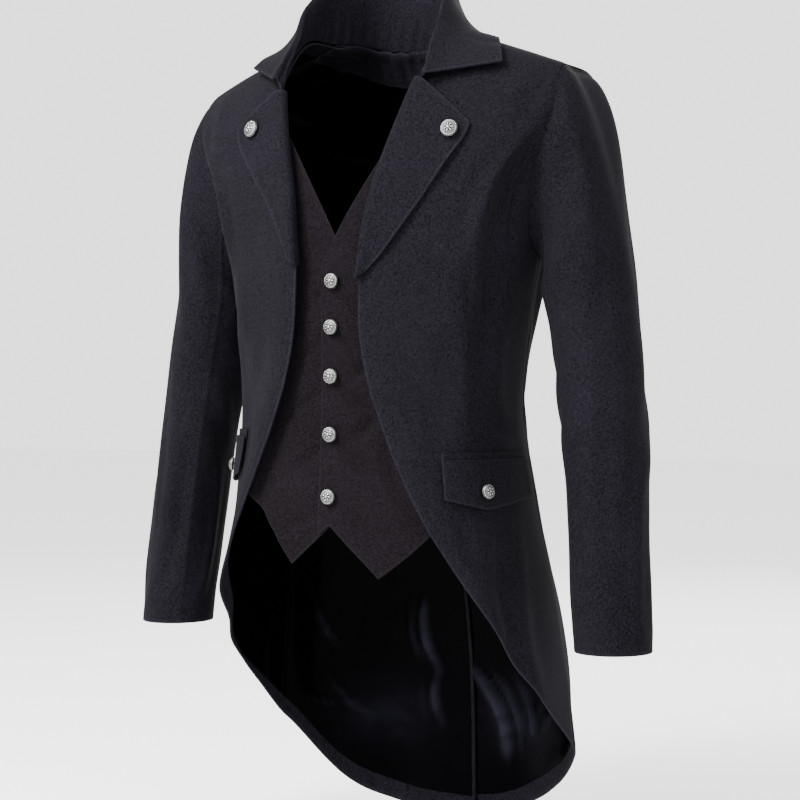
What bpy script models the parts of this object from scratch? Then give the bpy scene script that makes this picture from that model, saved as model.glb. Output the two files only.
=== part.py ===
"""Hollow worn form of a tailcoat with a false waistcoat front, built piece by piece.

Metres, +Z up, the wearer faces -Y and the wearer's left is +X. The frame's origin is the
shoulder line at the base of the neck. Every cloth piece is a thin closed wall.
"""

import math

import bpy
import numpy as np

# Driving dimensions, metres
CLOTH = 0.0020
LINING = 0.0010
SEAM = 0.0003
SHOULDER_SLOPE = 0.37
NECK_HALF_WIDTH = 0.072
SQUARENESS = 0.05
CUFF_HEIGHT = -0.641
VENT_TOP = -0.43
VENT_LAP = 0.10
WAISTCOAT_BUTTON = 0.0162
LAPEL_BUTTON = 0.0180
FLAP_BUTTON = 0.0150

# Grid divisions
LOWER_ROWS = 12
UPPER_ROWS = 8
LOWER_SHARES = (0.0, 0.035, 0.11, 0.20, 0.29, 0.38, 0.465, 0.55, 0.63, 0.70, 0.78, 0.88, 1.0)
FRONT_COLUMNS = 10
BACK_COLUMNS = 8
FACING_COLUMN = 5
CROWD = 1.25
SEAM_LEVEL = 0.010
COLLAR_REST = 0.0055

# Body sections: height at the neck, half width, front depth, back depth, centre y, slope share
BODY = np.array([
    [0.000, 0.255, 0.000, 0.000, 0.005, 1.00],
    [-0.005, 0.253, 0.044, 0.060, 0.004, 0.98],
    [-0.045, 0.243, 0.080, 0.086, 0.002, 0.88],
    [-0.100, 0.222, 0.101, 0.105, 0.000, 0.62],
    [-0.165, 0.197, 0.115, 0.113, -0.001, 0.25],
    [-0.235, 0.177, 0.120, 0.110, -0.003, 0.00],
    [-0.310, 0.161, 0.117, 0.100, -0.009, 0.00],
    [-0.400, 0.152, 0.113, 0.092, -0.014, 0.00],
    [-0.500, 0.161, 0.123, 0.112, -0.009, 0.00],
    [-0.600, 0.175, 0.134, 0.137, -0.002, 0.00],
    [-0.700, 0.186, 0.143, 0.150, 0.000, 0.00],
    [-0.800, 0.189, 0.147, 0.154, 0.000, 0.00],
    [-0.900, 0.188, 0.147, 0.154, 0.000, 0.00],
])

# Edges over the body: angle from centre front in degrees, height on the wearer's left,
# height on the wearer's right. Height 1 is the shoulder seam.
CUTAWAY = np.array([
    [84.5, -0.700, -0.676], [67.5, -0.649, -0.628], [49.5, -0.583, -0.564], [37.7, -0.532, -0.515],
    [31.8, -0.500, -0.486], [25.8, -0.461, -0.450], [20.5, -0.420, -0.413], [15.2, -0.375, -0.370],
    [11.6, -0.325, -0.320], [10.4, -0.270, -0.2545],
])
ROLL_LINE = np.array([
    [10.4, -0.270, -0.2545], [12.4, -0.192, -0.196], [15.4, -0.125, -0.118], [17.2, -0.069, -0.069],
    [16.4, -0.028, -0.028], [14.8, 1.0, 1.0],
])
SIDE_SEAM = np.array([
    [110.0, -0.757, -0.750], [109.0, -0.570, -0.565], [106.0, -0.400, -0.400], [100.0, -0.310, -0.310],
    [93.0, -0.246, -0.246],
])
ARMHOLE_FRONT = np.array([
    [93.0, -0.246, -0.246], [81.5, -0.229, -0.229], [73.5, -0.192, -0.192], [66.0, -0.150, -0.150],
    [58.0, -0.100, -0.100], [52.5, -0.070, -0.070], [48.0, 1.0, 1.0],
])
ARMHOLE_BACK = np.array([
    [93.0, -0.246, -0.246], [102.5, -0.229, -0.229], [107.5, -0.192, -0.192], [114.0, -0.150, -0.150],
    [122.0, -0.100, -0.100], [127.5, -0.070, -0.070], [132.0, 1.0, 1.0],
])
BACK_HEM = np.array([
    [110.0, -0.757, -0.750], [117.0, -0.771, -0.768], [130.0, -0.799, -0.807], [141.0, -0.818, -0.833],
    [152.0, -0.836, -0.851], [165.0, -0.857, -0.862], [180.0, -0.866, -0.866],
])
SPINE_LOW = np.array([
    [180.0, -0.866, -0.866], [180.0, -0.60, -0.60], [180.0, -0.40, -0.40], [180.0, -0.246, -0.246],
])
SPINE_HIGH = np.array([[180.0, -0.246, -0.246], [180.0, -0.15, -0.15], [180.0, -0.050, -0.050]])
BACK_NECK = np.array([
    [132.0, 1.0, 1.0], [150.0, 1.0, 1.0], [165.2, 1.0, 1.0], [171.0, -0.0045, -0.0045],
    [180.0, -0.009, -0.009],
])

# Height, how far the free front edge stands off the waistcoat
EDGE_LIFT = np.array([
    [-0.72, 0.001], [-0.62, 0.004], [-0.52, 0.008], [-0.40, 0.010],
    [-0.262, 0.008], [-0.19, 0.004], [-0.10, 0.002], [0.0, 0.0],
])

# Folds: angle top, height top, angle bottom, height bottom, width, height of the fold
FOLDS = np.array([
    [62.0, -0.150, 66.0, -0.330, 0.020, -0.0050],
    [48.0, -0.330, 40.0, -0.460, 0.018, -0.0025],
    [140.0, -0.540, 136.0, -0.880, 0.030, -0.0080],
    [160.0, -0.560, 157.0, -0.880, 0.024, 0.0075],
    [118.0, -0.560, 112.0, -0.800, 0.030, 0.0050],
    [128.0, -0.150, 140.0, -0.300, 0.024, -0.0040],
])

# Lapel outer edges, tip to break: angle, height
LAPEL_LEFT = np.array([
    [34.0, -0.117], [33.8, -0.134], [29.9, -0.168], [24.8, -0.203], [18.4, -0.240], [13.7, -0.2660],
])
LAPEL_RIGHT = np.array([
    [31.6, -0.104], [31.2, -0.124], [27.4, -0.150], [20.8, -0.190], [15.6, -0.228], [13.7, -0.2515],
])

# Waistcoat panel: column share, lower angle, lower height
WAIST_HEM_LEFT = np.array([
    [0.00, -4.0, -0.530], [0.10, 0.0, -0.519], [0.40, 16.1, -0.571], [0.80, 34.8, -0.530], [1.0, 44.0, -0.508],
])
WAIST_HEM_RIGHT = np.array([
    [0.00, -4.0, -0.530], [0.10, 0.0, -0.519], [0.40, 13.4, -0.560], [0.80, 28.0, -0.507], [1.0, 37.0, -0.488],
])
WAIST_NECK = np.array([
    [0.00, -4.0, -0.254], [0.10, 0.0, -0.2265], [0.40, 6.4, -0.182], [0.80, 14.6, -0.121], [1.0, 22.0, -0.078],
])

# Collar sections from the left front end round the back to the right front end:
# share along the neck edge (-1 left gorge, 0 centre back, 1 right gorge), fold x y z,
# outer edge x y z, how full the fall bows out
COLLAR = np.array([
    [-1.00, 0.0915, -0.0970, -0.0640, 0.1650, -0.0655, -0.0525, 0.000],
    [-0.82, 0.0870, -0.0640, -0.0140, 0.1530, -0.0450, -0.0330, -0.005],
    [-0.64, 0.0800, -0.0330, 0.0260, 0.1345, -0.0130, -0.0190, -0.012],
    [-0.42, 0.0600, 0.0060, 0.0500, 0.1170, 0.0200, -0.0130, -0.016],
    [-0.20, 0.0400, 0.0500, 0.0580, 0.0800, 0.0760, -0.0230, -0.014],
    [0.00, -0.0080, 0.0700, 0.0600, -0.0040, 0.1030, -0.0300, -0.006],
    [0.20, -0.0560, 0.0480, 0.0590, -0.0920, 0.0800, -0.0230, -0.008],
    [0.42, -0.0760, 0.0020, 0.0560, -0.1310, 0.0250, -0.0130, -0.010],
    [0.64, -0.0820, -0.0350, 0.0290, -0.1320, -0.0120, -0.0110, -0.006],
    [0.82, -0.0800, -0.0600, -0.0100, -0.1360, -0.0380, -0.0180, -0.002],
    [1.00, -0.0880, -0.0900, -0.0545, -0.1370, -0.0620, -0.0330, 0.000],
])

# Arm rings: height, centre x, centre y, radius across, radius front to back
ARM = np.array([
    [-0.285, 0.2305, 0.004, 0.0455, 0.0505],
    [-0.360, 0.2420, 0.001, 0.0435, 0.0480],
    [-0.440, 0.2510, -0.006, 0.0415, 0.0455],
    [-0.520, 0.2580, -0.013, 0.0400, 0.0435],
    [-0.600, 0.2640, -0.020, 0.0390, 0.0420],
    [CUFF_HEIGHT, 0.2665, -0.023, 0.0385, 0.0415],
])
FRONT_ARM_SEAM = 131.0
HIND_ARM_SEAM = 255.0

# Pocket flaps: side, top height, front angle, rear angle
FLAPS = {"left": (1, -0.452), "right": (-1, -0.430)}
FLAP_ANGLES = (43.0, 96.0)

# Heights of the waistcoat buttons
BUTTON_HEIGHTS = (-0.271, -0.318, -0.368, -0.427, -0.490)


def material(name, colour, roughness, metallic=0.0):
    """A plain surface with one colour."""
    made = bpy.data.materials.new(name)
    made.use_nodes = True
    shader = made.node_tree.nodes["Principled BSDF"]
    shader.inputs["Base Color"].default_value = (*colour, 1.0)
    shader.inputs["Roughness"].default_value = roughness
    shader.inputs["Metallic"].default_value = metallic
    return made


def through(table, t):
    """Smooth curve through the rows of a table at real row numbers t."""
    last = len(table) - 1
    t = np.clip(np.asarray(t, float), 0.0, last)
    i = np.clip(t.astype(int), 0, last - 1)
    f = (t - i)[..., None]
    here, after = table[i], table[i + 1]
    before = table[np.maximum(i - 1, 0)]
    beyond = table[np.minimum(i + 2, last)]
    leave = np.where((i > 0)[..., None], (after - before) / 2, after - here)
    arrive = np.where((i < last - 1)[..., None], (beyond - here) / 2, after - here)
    f2 = f * f
    f3 = f2 * f
    return (2 * f3 - 3 * f2 + 1) * here + (f3 - 2 * f2 + f) * leave + (3 * f2 - 2 * f3) * after + (f3 - f2) * arrive


def shoulder_drop(x):
    """Fall of the shoulder line at a distance from the neck."""
    reach = np.abs(x) - NECK_HALF_WIDTH
    soft = reach + np.sqrt(reach * reach + 0.0003)
    rest = -NECK_HALF_WIDTH + math.sqrt(NECK_HALF_WIDTH ** 2 + 0.0003)
    return SHOULDER_SLOPE * 0.5 * (soft - rest)


def body(phi, level):
    """Point of the worn form at an angle from centre front and a section number."""
    row = through(BODY, level)
    height, width, front, back, middle, slope = (row[..., i] for i in range(6))
    sine = (np.sin(phi) + SQUARENESS * np.sin(3 * phi)) / (1 - SQUARENESS)
    cosine = (np.cos(phi) - SQUARENESS * np.cos(3 * phi)) / (1 - SQUARENESS)
    x = width * sine
    y = middle - np.where(cosine > 0, front, back) * cosine
    return np.stack([x, y, height - slope * shoulder_drop(x)], -1)


def level_at(phi, height):
    """Section number where the form passes a height, found by halving."""
    phi, height = np.broadcast_arrays(np.asarray(phi, float), np.asarray(height, float))
    low = np.zeros(phi.shape)
    high = np.full(phi.shape, len(BODY) - 1.0)
    for _ in range(40):
        half = (low + high) / 2
        above = body(phi, half)[..., 2] > height
        low = np.where(above, half, low)
        high = np.where(above, high, half)
    return (low + high) / 2


def normals(phi, level):
    """Outward direction of the form."""
    step = 1e-4
    level = np.maximum(level, 2 * step)
    around = body(phi + step, level) - body(phi - step, level)
    down = body(phi, level + step) - body(phi, level - step)
    n = np.cross(down, around)
    return n / np.linalg.norm(n, axis=-1, keepdims=True)


def stand_off(phi, level):
    """Lift of the free front edge and of the drape folds."""
    point = body(phi, level)
    height = point[..., 2]
    line = np.concatenate([CUTAWAY, ROLL_LINE[1:-1]])
    edge = np.radians(np.interp(height, line[:, 1:].mean(1), line[:, 0]))
    away = (phi - edge) * np.hypot(point[..., 0], point[..., 1])
    lift = np.interp(height, EDGE_LIFT[:, 0], EDGE_LIFT[:, 1]) * np.exp(-(away / 0.032) ** 2)
    for top, high, bottom, low, width, rise in FOLDS:
        share = np.clip((high - height) / (high - low), -0.3, 1.3)
        centre = np.radians(top + (bottom - top) * share)
        across = (phi - centre) * 0.15 / width
        along = 1 / (1 + np.exp(-14 * share)) / (1 + np.exp(14 * (share - 1)))
        if bottom > 110 and low < -0.79:
            along = np.clip(share, 0, 1.3) ** 1.4
        lift = lift + rise * np.exp(-across * across) * along
    return lift


def laid(phi, level, offset):
    """Points of a layer at an offset from the worn form."""
    reach = stand_off(phi, level) + offset
    return body(phi, level) + normals(phi, level) * reach[..., None]


def edge_line(table, count, side=1, shares=None):
    """Angle and section pairs along an edge table, evenly spaced or at set shares of its length."""
    height = table[:, 1] if side > 0 else table[:, 2]
    knots = level_at(np.radians(table[:, 0]), np.minimum(height, 0.0))
    knots = np.where(height > 0.5, 0.0, knots)
    rows = through(np.stack([np.radians(table[:, 0]), knots], -1), np.linspace(0, len(table) - 1, 400))
    phi = rows[:, 0]
    level = np.maximum(rows[:, 1], 0.0)
    points = body(phi, level)
    run = np.concatenate([[0], np.cumsum(np.linalg.norm(np.diff(points, axis=0), axis=1))])
    want = (np.linspace(0, 1, count) if shares is None else np.array(shares)) * run[-1]
    return np.stack([np.interp(want, run, phi), np.interp(want, run, level)], -1)


def patch(left, right, bottom, top, crowd=1.0):
    """Grid of angle and section pairs spanned by four edges, bottom row first."""
    v = np.linspace(0, 1, len(left))[:, None, None]
    u = np.linspace(0, 1, len(bottom))[None, :, None] ** crowd
    ruled = left[:, None] * (1 - u) + right[:, None] * u
    risen = bottom[None] * (1 - v) + top[None] * v
    corners = (
        bottom[0] * (1 - u) * (1 - v) + bottom[-1] * u * (1 - v) + top[0] * (1 - u) * v + top[-1] * u * v
    )
    return ruled + risen - corners


def joined(low, high, side):
    """Two edge tables end to end, rows spaced for the part below and above the armhole."""
    below = edge_line(low, LOWER_ROWS + 1, side, LOWER_SHARES)
    return np.concatenate([below, edge_line(high, UPPER_ROWS + 1, side)[1:]])


def front_grid(side):
    """Angle and section grid of one front panel."""
    left = joined(CUTAWAY, ROLL_LINE, side)
    right = joined(SIDE_SEAM, ARMHOLE_FRONT, side)
    right[:LOWER_ROWS + 1, 0] -= SEAM / 2 / 0.18
    u = np.linspace(0, 1, FRONT_COLUMNS + 1)[:, None] ** CROWD
    bottom = left[0] * (1 - u) + right[0] * u
    top = left[-1] * (1 - u) + right[-1] * u
    grid = patch(left, right, bottom, top, CROWD)
    grid[..., 1] = np.maximum(grid[..., 1], SEAM_LEVEL)
    return grid


def back_grid(side):
    """Angle and section grid of one back panel; its top row is as deep as the neck facing."""
    left = joined(SIDE_SEAM, ARMHOLE_BACK, side)
    left[:LOWER_ROWS + 1, 0] += SEAM / 2 / 0.18
    bottom = edge_line(BACK_HEM, BACK_COLUMNS + 1, side)
    top = edge_line(BACK_NECK, BACK_COLUMNS + 1, side)
    lower = edge_line(SPINE_LOW, LOWER_ROWS + 1, side, LOWER_SHARES)
    upper = edge_line(SPINE_HIGH, UPPER_ROWS, side)
    right = np.concatenate([lower, upper[1:], top[-1:]])
    grid = patch(left, right, bottom, top)
    grid[:, -1, 0] = math.pi - SEAM / 2 / 0.13
    grid[..., 1] = np.maximum(grid[..., 1], SEAM_LEVEL)
    return grid


def add(name, vertices, faces, finish, side=1, smooth=True):
    """Object from points and faces, mirrored to the wearer's right where asked."""
    vertices = np.array(vertices, float)
    if side < 0:
        vertices[:, 0] *= -1
    tri = np.array([[f[0], f[i], f[i + 1]] for f in faces for i in range(1, len(f) - 1)])
    a, b, c = (vertices[tri[:, i]] for i in range(3))
    if np.einsum("ij,ij->i", a, np.cross(b, c)).sum() < 0:
        faces = [tuple(reversed(f)) for f in faces]
    mesh = bpy.data.meshes.new(name)
    mesh.from_pydata(vertices.tolist(), [], [tuple(int(i) for i in f) for f in faces])
    mesh.update()
    if smooth:
        mesh.polygons.foreach_set("use_smooth", [True] * len(mesh.polygons))
    mesh.materials.append(finish)
    made = bpy.data.objects.new(name, mesh)
    bpy.context.scene.collection.objects.link(made)
    made.parent = bpy.data.objects["tailcoat"]
    return made


def between(name, outer, inner, finish, side=1):
    """Closed wall between two grids of the same shape."""
    rows, columns = outer.shape[:2]
    count = rows * columns
    vertices = np.concatenate([outer.reshape(-1, 3), inner.reshape(-1, 3)])
    index = np.arange(count).reshape(rows, columns)
    first = np.stack([index[:-1, :-1], index[:-1, 1:], index[1:, 1:]], -1).reshape(-1, 3)
    second = np.stack([index[:-1, :-1], index[1:, 1:], index[1:, :-1]], -1).reshape(-1, 3)
    flat = np.concatenate([first, second])
    faces = [tuple(f) for f in flat] + [tuple(f[::-1] + count) for f in flat]
    rim = np.concatenate([index[0, :], index[1:, -1], index[-1, -2::-1], index[-2:0:-1, 0]])
    for start, end in zip(rim, np.roll(rim, -1)):
        faces.append((end, start, start + count, end + count))
    return add(name, vertices, faces, finish, side)


def grid_normals(grid):
    """Direction off a grid, from its own rows and columns."""
    n = np.cross(np.gradient(grid, axis=0), np.gradient(grid, axis=1))
    return n / np.maximum(np.linalg.norm(n, axis=-1, keepdims=True), 1e-12)


def layer(name, grid, offset, thickness, finish, side=1):
    """Wall laid on the worn form over a grid of angle and section pairs."""
    phi, level = grid[..., 0], grid[..., 1]
    offset = np.broadcast_to(offset, phi.shape)
    return between(name, laid(phi, level, offset), laid(phi, level, offset - thickness), finish, side)


def back_layers(grid, side):
    """Shell grid and offset, lining grid and offset of one back, with the tails lapped."""
    height = body(grid[:, -1, 0], grid[:, -1, 1])[:, 2]
    parted = (height < VENT_TOP).astype(float)
    lapped = np.concatenate([[1.0], parted[:-1]])
    shell_grid = grid.copy()
    shell_grid[:, -1, 0] += VENT_LAP * parted
    lap = np.zeros(grid.shape[:2])
    lap[:, -1] = side * 0.0022 * lapped
    lap[:, -2] = lap[:, -1] * 0.5
    lining_grid = grid.copy()
    lining_lap = lap - CLOTH - SEAM
    if side > 0:
        lining_grid[:, -1, 0] -= (VENT_LAP + 0.02) * lapped
        lining_lap[:, -1] -= 0.0022 * lapped
    else:
        lining_grid[:, -1, 0] += (VENT_LAP - 0.02) * parted
    return shell_grid, lap, lining_grid[1:-1], lining_lap[1:-1]


def build_panels(cloth, satin):
    """Fronts, backs, their linings and the back neck facing."""
    for word, side in (("left", 1), ("right", -1)):
        front = front_grid(side)
        layer(f"front_{word}", front, 0.0, CLOTH, cloth, side)
        layer(f"lining_front_{word}", front[1:, 2:], -CLOTH - SEAM, LINING, satin, side)
        back = back_grid(side)
        shell_grid, lap, lining_grid, lining_lap = back_layers(back, side)
        layer(f"back_{word}", shell_grid, lap, CLOTH, cloth, side)
        layer(f"lining_back_{word}", lining_grid, lining_lap, LINING, satin, side)
    half = back[-3:, FACING_COLUMN:]
    other = half[:, -2::-1].copy()
    other[..., 0] = 2 * math.pi - other[..., 0]
    facing = np.concatenate([half, other], 1)
    facing[:, half.shape[1] - 1, 0] = math.pi
    layer("back_facing", facing, -CLOTH - LINING - 2 * SEAM, CLOTH, cloth)


def waist_grid(hem, side):
    """Angle and section grid of one waistcoat front."""
    u = np.linspace(0, 1, 11)
    low = np.stack([np.radians(np.interp(u, hem[:, 0], hem[:, 1])), np.interp(u, hem[:, 0], hem[:, 2])], -1)
    high = np.stack([np.radians(np.interp(u, WAIST_NECK[:, 0], WAIST_NECK[:, 1])),
                     np.interp(u, WAIST_NECK[:, 0], WAIST_NECK[:, 2])], -1)
    v = np.linspace(0, 1, 13)[:, None, None]
    plain = low[None] * (1 - v) + high[None] * v
    front = np.radians(np.interp(plain[..., 1], CUTAWAY[:, 1 if side > 0 else 2], CUTAWAY[:, 0]))
    wanted = np.clip(front + np.radians(8.5), None, np.radians(60))
    side_share = np.clip((u - 0.1) / 0.9, 0, 1)[None, :]
    bow = np.sin(math.pi * v[..., 0]) ** 0.8
    plain[..., 0] += 0.75 * bow * side_share * (wanted[:, -1:] - plain[:, -1:, 0])
    return np.stack([plain[..., 0], level_at(plain[..., 0], plain[..., 1])], -1)


def waist_layer(name, grid, offset, thickness, finish, side):
    """Wall of the waistcoat, which does not follow the coat's lifted edges."""
    phi, level = grid[..., 0], grid[..., 1]
    outer = body(phi, level) + normals(phi, level) * offset[..., None]
    inner = body(phi, level) + normals(phi, level) * (offset - thickness)[..., None]
    return between(name, outer, inner, finish, side)


def waist_offset(phi, side):
    """Depth of the waistcoat under the worn form; left laps over right."""
    middle = np.exp(-(np.degrees(phi) / 9.0) ** 4)
    return -0.0062 + (0.0018 if side > 0 else -0.0018) * middle


def build_waistcoat(cloth):
    """The two waistcoat fronts."""
    for word, side, hem in (("left", 1, WAIST_HEM_LEFT), ("right", -1, WAIST_HEM_RIGHT)):
        grid = waist_grid(hem, side)
        depth = waist_offset(grid[..., 0], side)
        share = np.linspace(0, 1, grid.shape[1])
        seam = stand_off(grid[..., 0], grid[..., 1]) - CLOTH - LINING - 2 * SEAM - 0.0003
        tuck = np.clip((share - 0.85) / 0.15, 0, 1)
        under = np.minimum(depth, seam)
        depth = depth * (1 - tuck) + seam * tuck
        depth = np.where(share > 0.55, np.minimum(depth, under + (seam - under) * tuck), depth)
        waist_layer(f"waistcoat_{word}", grid, depth, CLOTH, cloth, side)


def shell(name, grid, thickness, finish, side=1, flip=False):
    """Wall from a free grid, thickened to its back."""
    n = grid_normals(grid) * (-1 if flip else 1)
    return between(name, grid, grid - n * thickness, finish, side)


def lapel_points(edge, side):
    """Outer face of a lapel: it comes round the roll line and lies on the chest."""
    rows = 12
    roll = edge_line(ROLL_LINE[:4], rows, side)[::-1]
    outer = edge_line(edge, rows)
    roll[0] = roll[0] * 0.92 + roll[1] * 0.08
    # Distance in from the roll line, offset of the face
    wrap = np.array([[0.0090, -0.0052], [0.0000, -0.0054], [-0.0050, -0.0026], [-0.0060, 0.0020],
                     [-0.0036, 0.0060], [0.0030, 0.0074]])
    point = body(roll[:, 0], roll[:, 1])
    reach = np.abs(point[:, 0] / np.maximum(np.sin(roll[:, 0]), 0.05) * np.cos(roll[:, 0]))
    breadth = np.linalg.norm(body(outer[:, 0], outer[:, 1]) - point, axis=1)
    narrow = np.clip(breadth / 0.030, 0.5, 1.0)
    columns = []
    for inward, offset in wrap:
        phi = roll[:, 0] + inward * narrow / reach
        columns.append(laid(phi, roll[:, 1], np.full(rows, offset)))
    start = np.stack([phi, roll[:, 1]], -1)
    for share in np.linspace(0.16, 1.0, 6):
        flat = start * (1 - share) + outer * share
        offset = 0.0046 + 0.0028 * (1 - share) ** 2
        columns.append(laid(flat[:, 0], flat[:, 1], np.full(rows, offset)))
    return np.stack(columns, 1)


def build_lapels(cloth):
    """Both lapels."""
    for word, side, edge in (("left", 1, LAPEL_LEFT), ("right", -1, LAPEL_RIGHT)):
        shell(f"lapel_{word}", lapel_points(edge, side), CLOTH, cloth, side)


def neck_edge(share):
    """Point of the neck edge and its outward direction: -1 left gorge, 0 nape, 1 right gorge."""
    line = np.concatenate([edge_line(ROLL_LINE[3:], 60), edge_line(BACK_NECK[2:], 60)])
    points = body(line[:, 0], line[:, 1])
    run = np.concatenate([[0], np.cumsum(np.linalg.norm(np.diff(points, axis=0), axis=1))])
    off = normals(line[:, 0], np.maximum(line[:, 1], SEAM_LEVEL))
    want = (1 - np.abs(share)) * run[-1]
    flip = np.stack([np.where(share > 0, -1, 1), 0 * want + 1, 0 * want + 1], -1)
    found = np.stack([np.interp(want, run, points[:, i]) for i in range(3)], -1) * flip
    away = np.stack([np.interp(want, run, off[:, i]) for i in range(3)], -1) * flip
    out = np.stack([found[:, 0], found[:, 1], 0 * want], -1)
    return found, away, out / np.linalg.norm(out, axis=1, keepdims=True)


def collar_points(stations=33):
    """Face of the collar: up the stand, over the fold and down the fall."""
    row = through(COLLAR, np.linspace(0, len(COLLAR) - 1, stations))
    edge_point, away, out = neck_edge(row[:, 0])
    fold, edge, bow = row[:, 1:4], row[:, 4:7], row[:, 7]
    up = np.array([0, 0, 1.0])
    front_share = np.clip((np.abs(row[:, :1]) - 0.45) / 0.3, 0, 1)
    neck = edge_point - out * 0.0014 + away * (0.0012 + 0.0022 * front_share)
    columns = [neck, neck * 0.5 + fold * 0.5 - out * 0.0005, fold * 0.85 + neck * 0.15 - out * 0.0005]
    columns.append(fold + out * 0.0010 + up * 0.0015)
    columns.append(fold + out * 0.0060 + up * 0.0005)
    for share in (0.22, 0.42, 0.62, 0.82, 1.0):
        sag = math.sin(math.pi * share) * bow[:, None]
        columns.append(fold * (1 - share) + edge * share + up * sag + out * 0.004 * (1 - share))
    face = np.stack(columns, 1)
    face[:, 4:, 2] = np.maximum(face[:, 4:, 2], shoulder_height(face[:, 4:]) + COLLAR_REST)
    return face


def shoulder_height(points):
    """Height of the worn form under points near the neck."""
    phi, level = np.meshgrid(np.radians(np.arange(8.0, 353.0, 1.5)), np.linspace(0.0, 2.6, 90))
    form = body(phi, level).reshape(-1, 3)
    flat = points.reshape(-1, 3)
    near = ((flat[:, None, :2] - form[None, :, :2]) ** 2).sum(-1).argmin(1)
    return form[near, 2].reshape(points.shape[:-1])


def build_collar(cloth):
    """Stand and fall in one piece."""
    shell("collar", collar_points(), CLOTH, cloth, flip=True)


def armhole_ring(theta):
    """Points of the armhole at sleeve angles: 0 shoulder, 90 front, 180 underarm, 270 back."""
    front = edge_line(ARMHOLE_FRONT, 181)[::-1]
    back = edge_line(ARMHOLE_BACK, 181)
    whole = np.concatenate([front, back[1:]])
    marks = np.linspace(0, 360, len(whole))
    turned = np.mod(theta, 360)
    phi = np.interp(turned, marks, whole[:, 0])
    level = np.maximum(np.interp(turned, marks, whole[:, 1]), 0.010)
    return laid(phi, level, np.full(phi.shape, 0.0002))


def sleeve_points(theta, cap_rows=8, tube_rows=8):
    """Outer face of a sleeve strip from the armhole to the cuff."""
    start = armhole_ring(theta)
    t = np.linspace(0, len(ARM) - 1, tube_rows + 1)
    rings = through(ARM, t)
    angle = np.radians(theta)
    x = rings[:, 1, None] + rings[:, 3, None] * np.cos(angle)
    y = rings[:, 2, None] - rings[:, 4, None] * np.sin(angle)
    z = np.broadcast_to(rings[:, 0, None], x.shape)
    tube = np.stack([x, y, z], -1)
    end = tube[0]
    chord = np.linalg.norm(end - start, axis=1, keepdims=True)
    top = np.clip(np.cos(angle), 0, 1)[:, None]
    leave = np.array([1.0, 0.0, 0.0]) + top * np.array([-0.30, 0.0, -0.80])
    leave = leave * chord * (0.60 + 0.02 * top)
    arrive = (tube[1] - tube[0]) / np.linalg.norm(tube[1] - tube[0], axis=1, keepdims=True) * chord * 1.1
    s = np.linspace(0, 1, cap_rows + 1)[:, None, None]
    cap = (2 * s ** 3 - 3 * s ** 2 + 1) * start + (s ** 3 - 2 * s ** 2 + s) * leave
    cap = cap + (3 * s ** 2 - 2 * s ** 3) * end + (s ** 3 - s ** 2) * arrive
    cap[0] += np.array([0.0010, 0.0, 0.0])
    return np.concatenate([cap, tube[1:]])


def build_sleeves(cloth):
    """Top sleeve and under sleeve, left and right."""
    gap = 0.2
    over = np.linspace(HIND_ARM_SEAM - 360 + gap, FRONT_ARM_SEAM - gap, 16)
    under = np.linspace(FRONT_ARM_SEAM + gap, HIND_ARM_SEAM - gap, 9)
    for word, side in (("left", 1), ("right", -1)):
        shell(f"sleeve_top_{word}", sleeve_points(over), CLOTH, cloth, side)
        shell(f"sleeve_under_{word}", sleeve_points(under), CLOTH, cloth, side)


def flap_grid(top, drop, point, columns=11, rows=4):
    """Angle and section grid of a strip with a pointed lower edge."""
    phi = np.radians(np.linspace(*FLAP_ANGLES, columns))
    share = np.linspace(0, 1, columns)
    low = top - drop - point * (1 - np.abs(share - 0.38) / np.where(share < 0.38, 0.38, 0.62))
    v = np.linspace(0, 1, rows)[:, None]
    height = low[None] * (1 - v) + top * v
    phi = np.broadcast_to(phi, height.shape)
    return np.stack([phi, level_at(phi, height)], -1)


def build_pockets(cloth):
    """Pocket flaps and the welts above them."""
    for word, (side, top) in FLAPS.items():
        layer(f"pocket_flap_{word}", flap_grid(top, 0.0395, 0.011), 0.0051, CLOTH, cloth, side)
        layer(f"pocket_welt_{word}", flap_grid(top + 0.0070, 0.0105, 0.0, rows=2), 0.0027, CLOTH, cloth, side)


def button(name, centre, direction, diameter, metal):
    """Domed button with a shank, turned about its axis."""
    radius = diameter / 2
    # Share of the radius, height over the seat
    profile = np.array([
        [0.0, 0.0004], [0.26, 0.0004], [0.26, 0.0020], [0.90, 0.0024], [1.0, 0.0032],
        [0.92, 0.0044], [0.62, 0.0062], [0.30, 0.0070], [0.0, 0.0072],
    ])
    count = 14
    turn = np.linspace(0, 2 * math.pi, count, endpoint=False)
    direction = np.asarray(direction, float) / np.linalg.norm(direction)
    side = np.cross([0.0, 0.0, 1.0], direction)
    side /= np.linalg.norm(side)
    high = np.cross(direction, side)
    vertices = [centre + direction * profile[0, 1]]
    for share, rise in profile[1:-1]:
        ring = np.outer(np.cos(turn), side) + np.outer(np.sin(turn), high)
        vertices.extend(centre + direction * rise + ring * radius * share)
    vertices.append(centre + direction * profile[-1, 1])
    faces = []
    for i in range(count):
        j = (i + 1) % count
        faces.append((0, 1 + j, 1 + i))
        for k in range(len(profile) - 3):
            a = 1 + k * count
            b = a + count
            faces.append((a + i, a + j, b + j, b + i))
        a = 1 + (len(profile) - 3) * count
        faces.append((a + i, a + j, len(vertices) - 1))
    add(name, np.array(vertices), faces, metal)


def seat(phi, height, offset, side, lifted=True):
    """Point and direction of a button seat on the worn form."""
    phi = np.array(phi)
    level = level_at(phi, height)
    n = normals(phi, level)
    reach = offset + (float(stand_off(phi, level)) if lifted else 0.0)
    point = body(phi, level) + n * reach
    flip = np.array([side, 1, 1])
    return point * flip, n * flip


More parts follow.
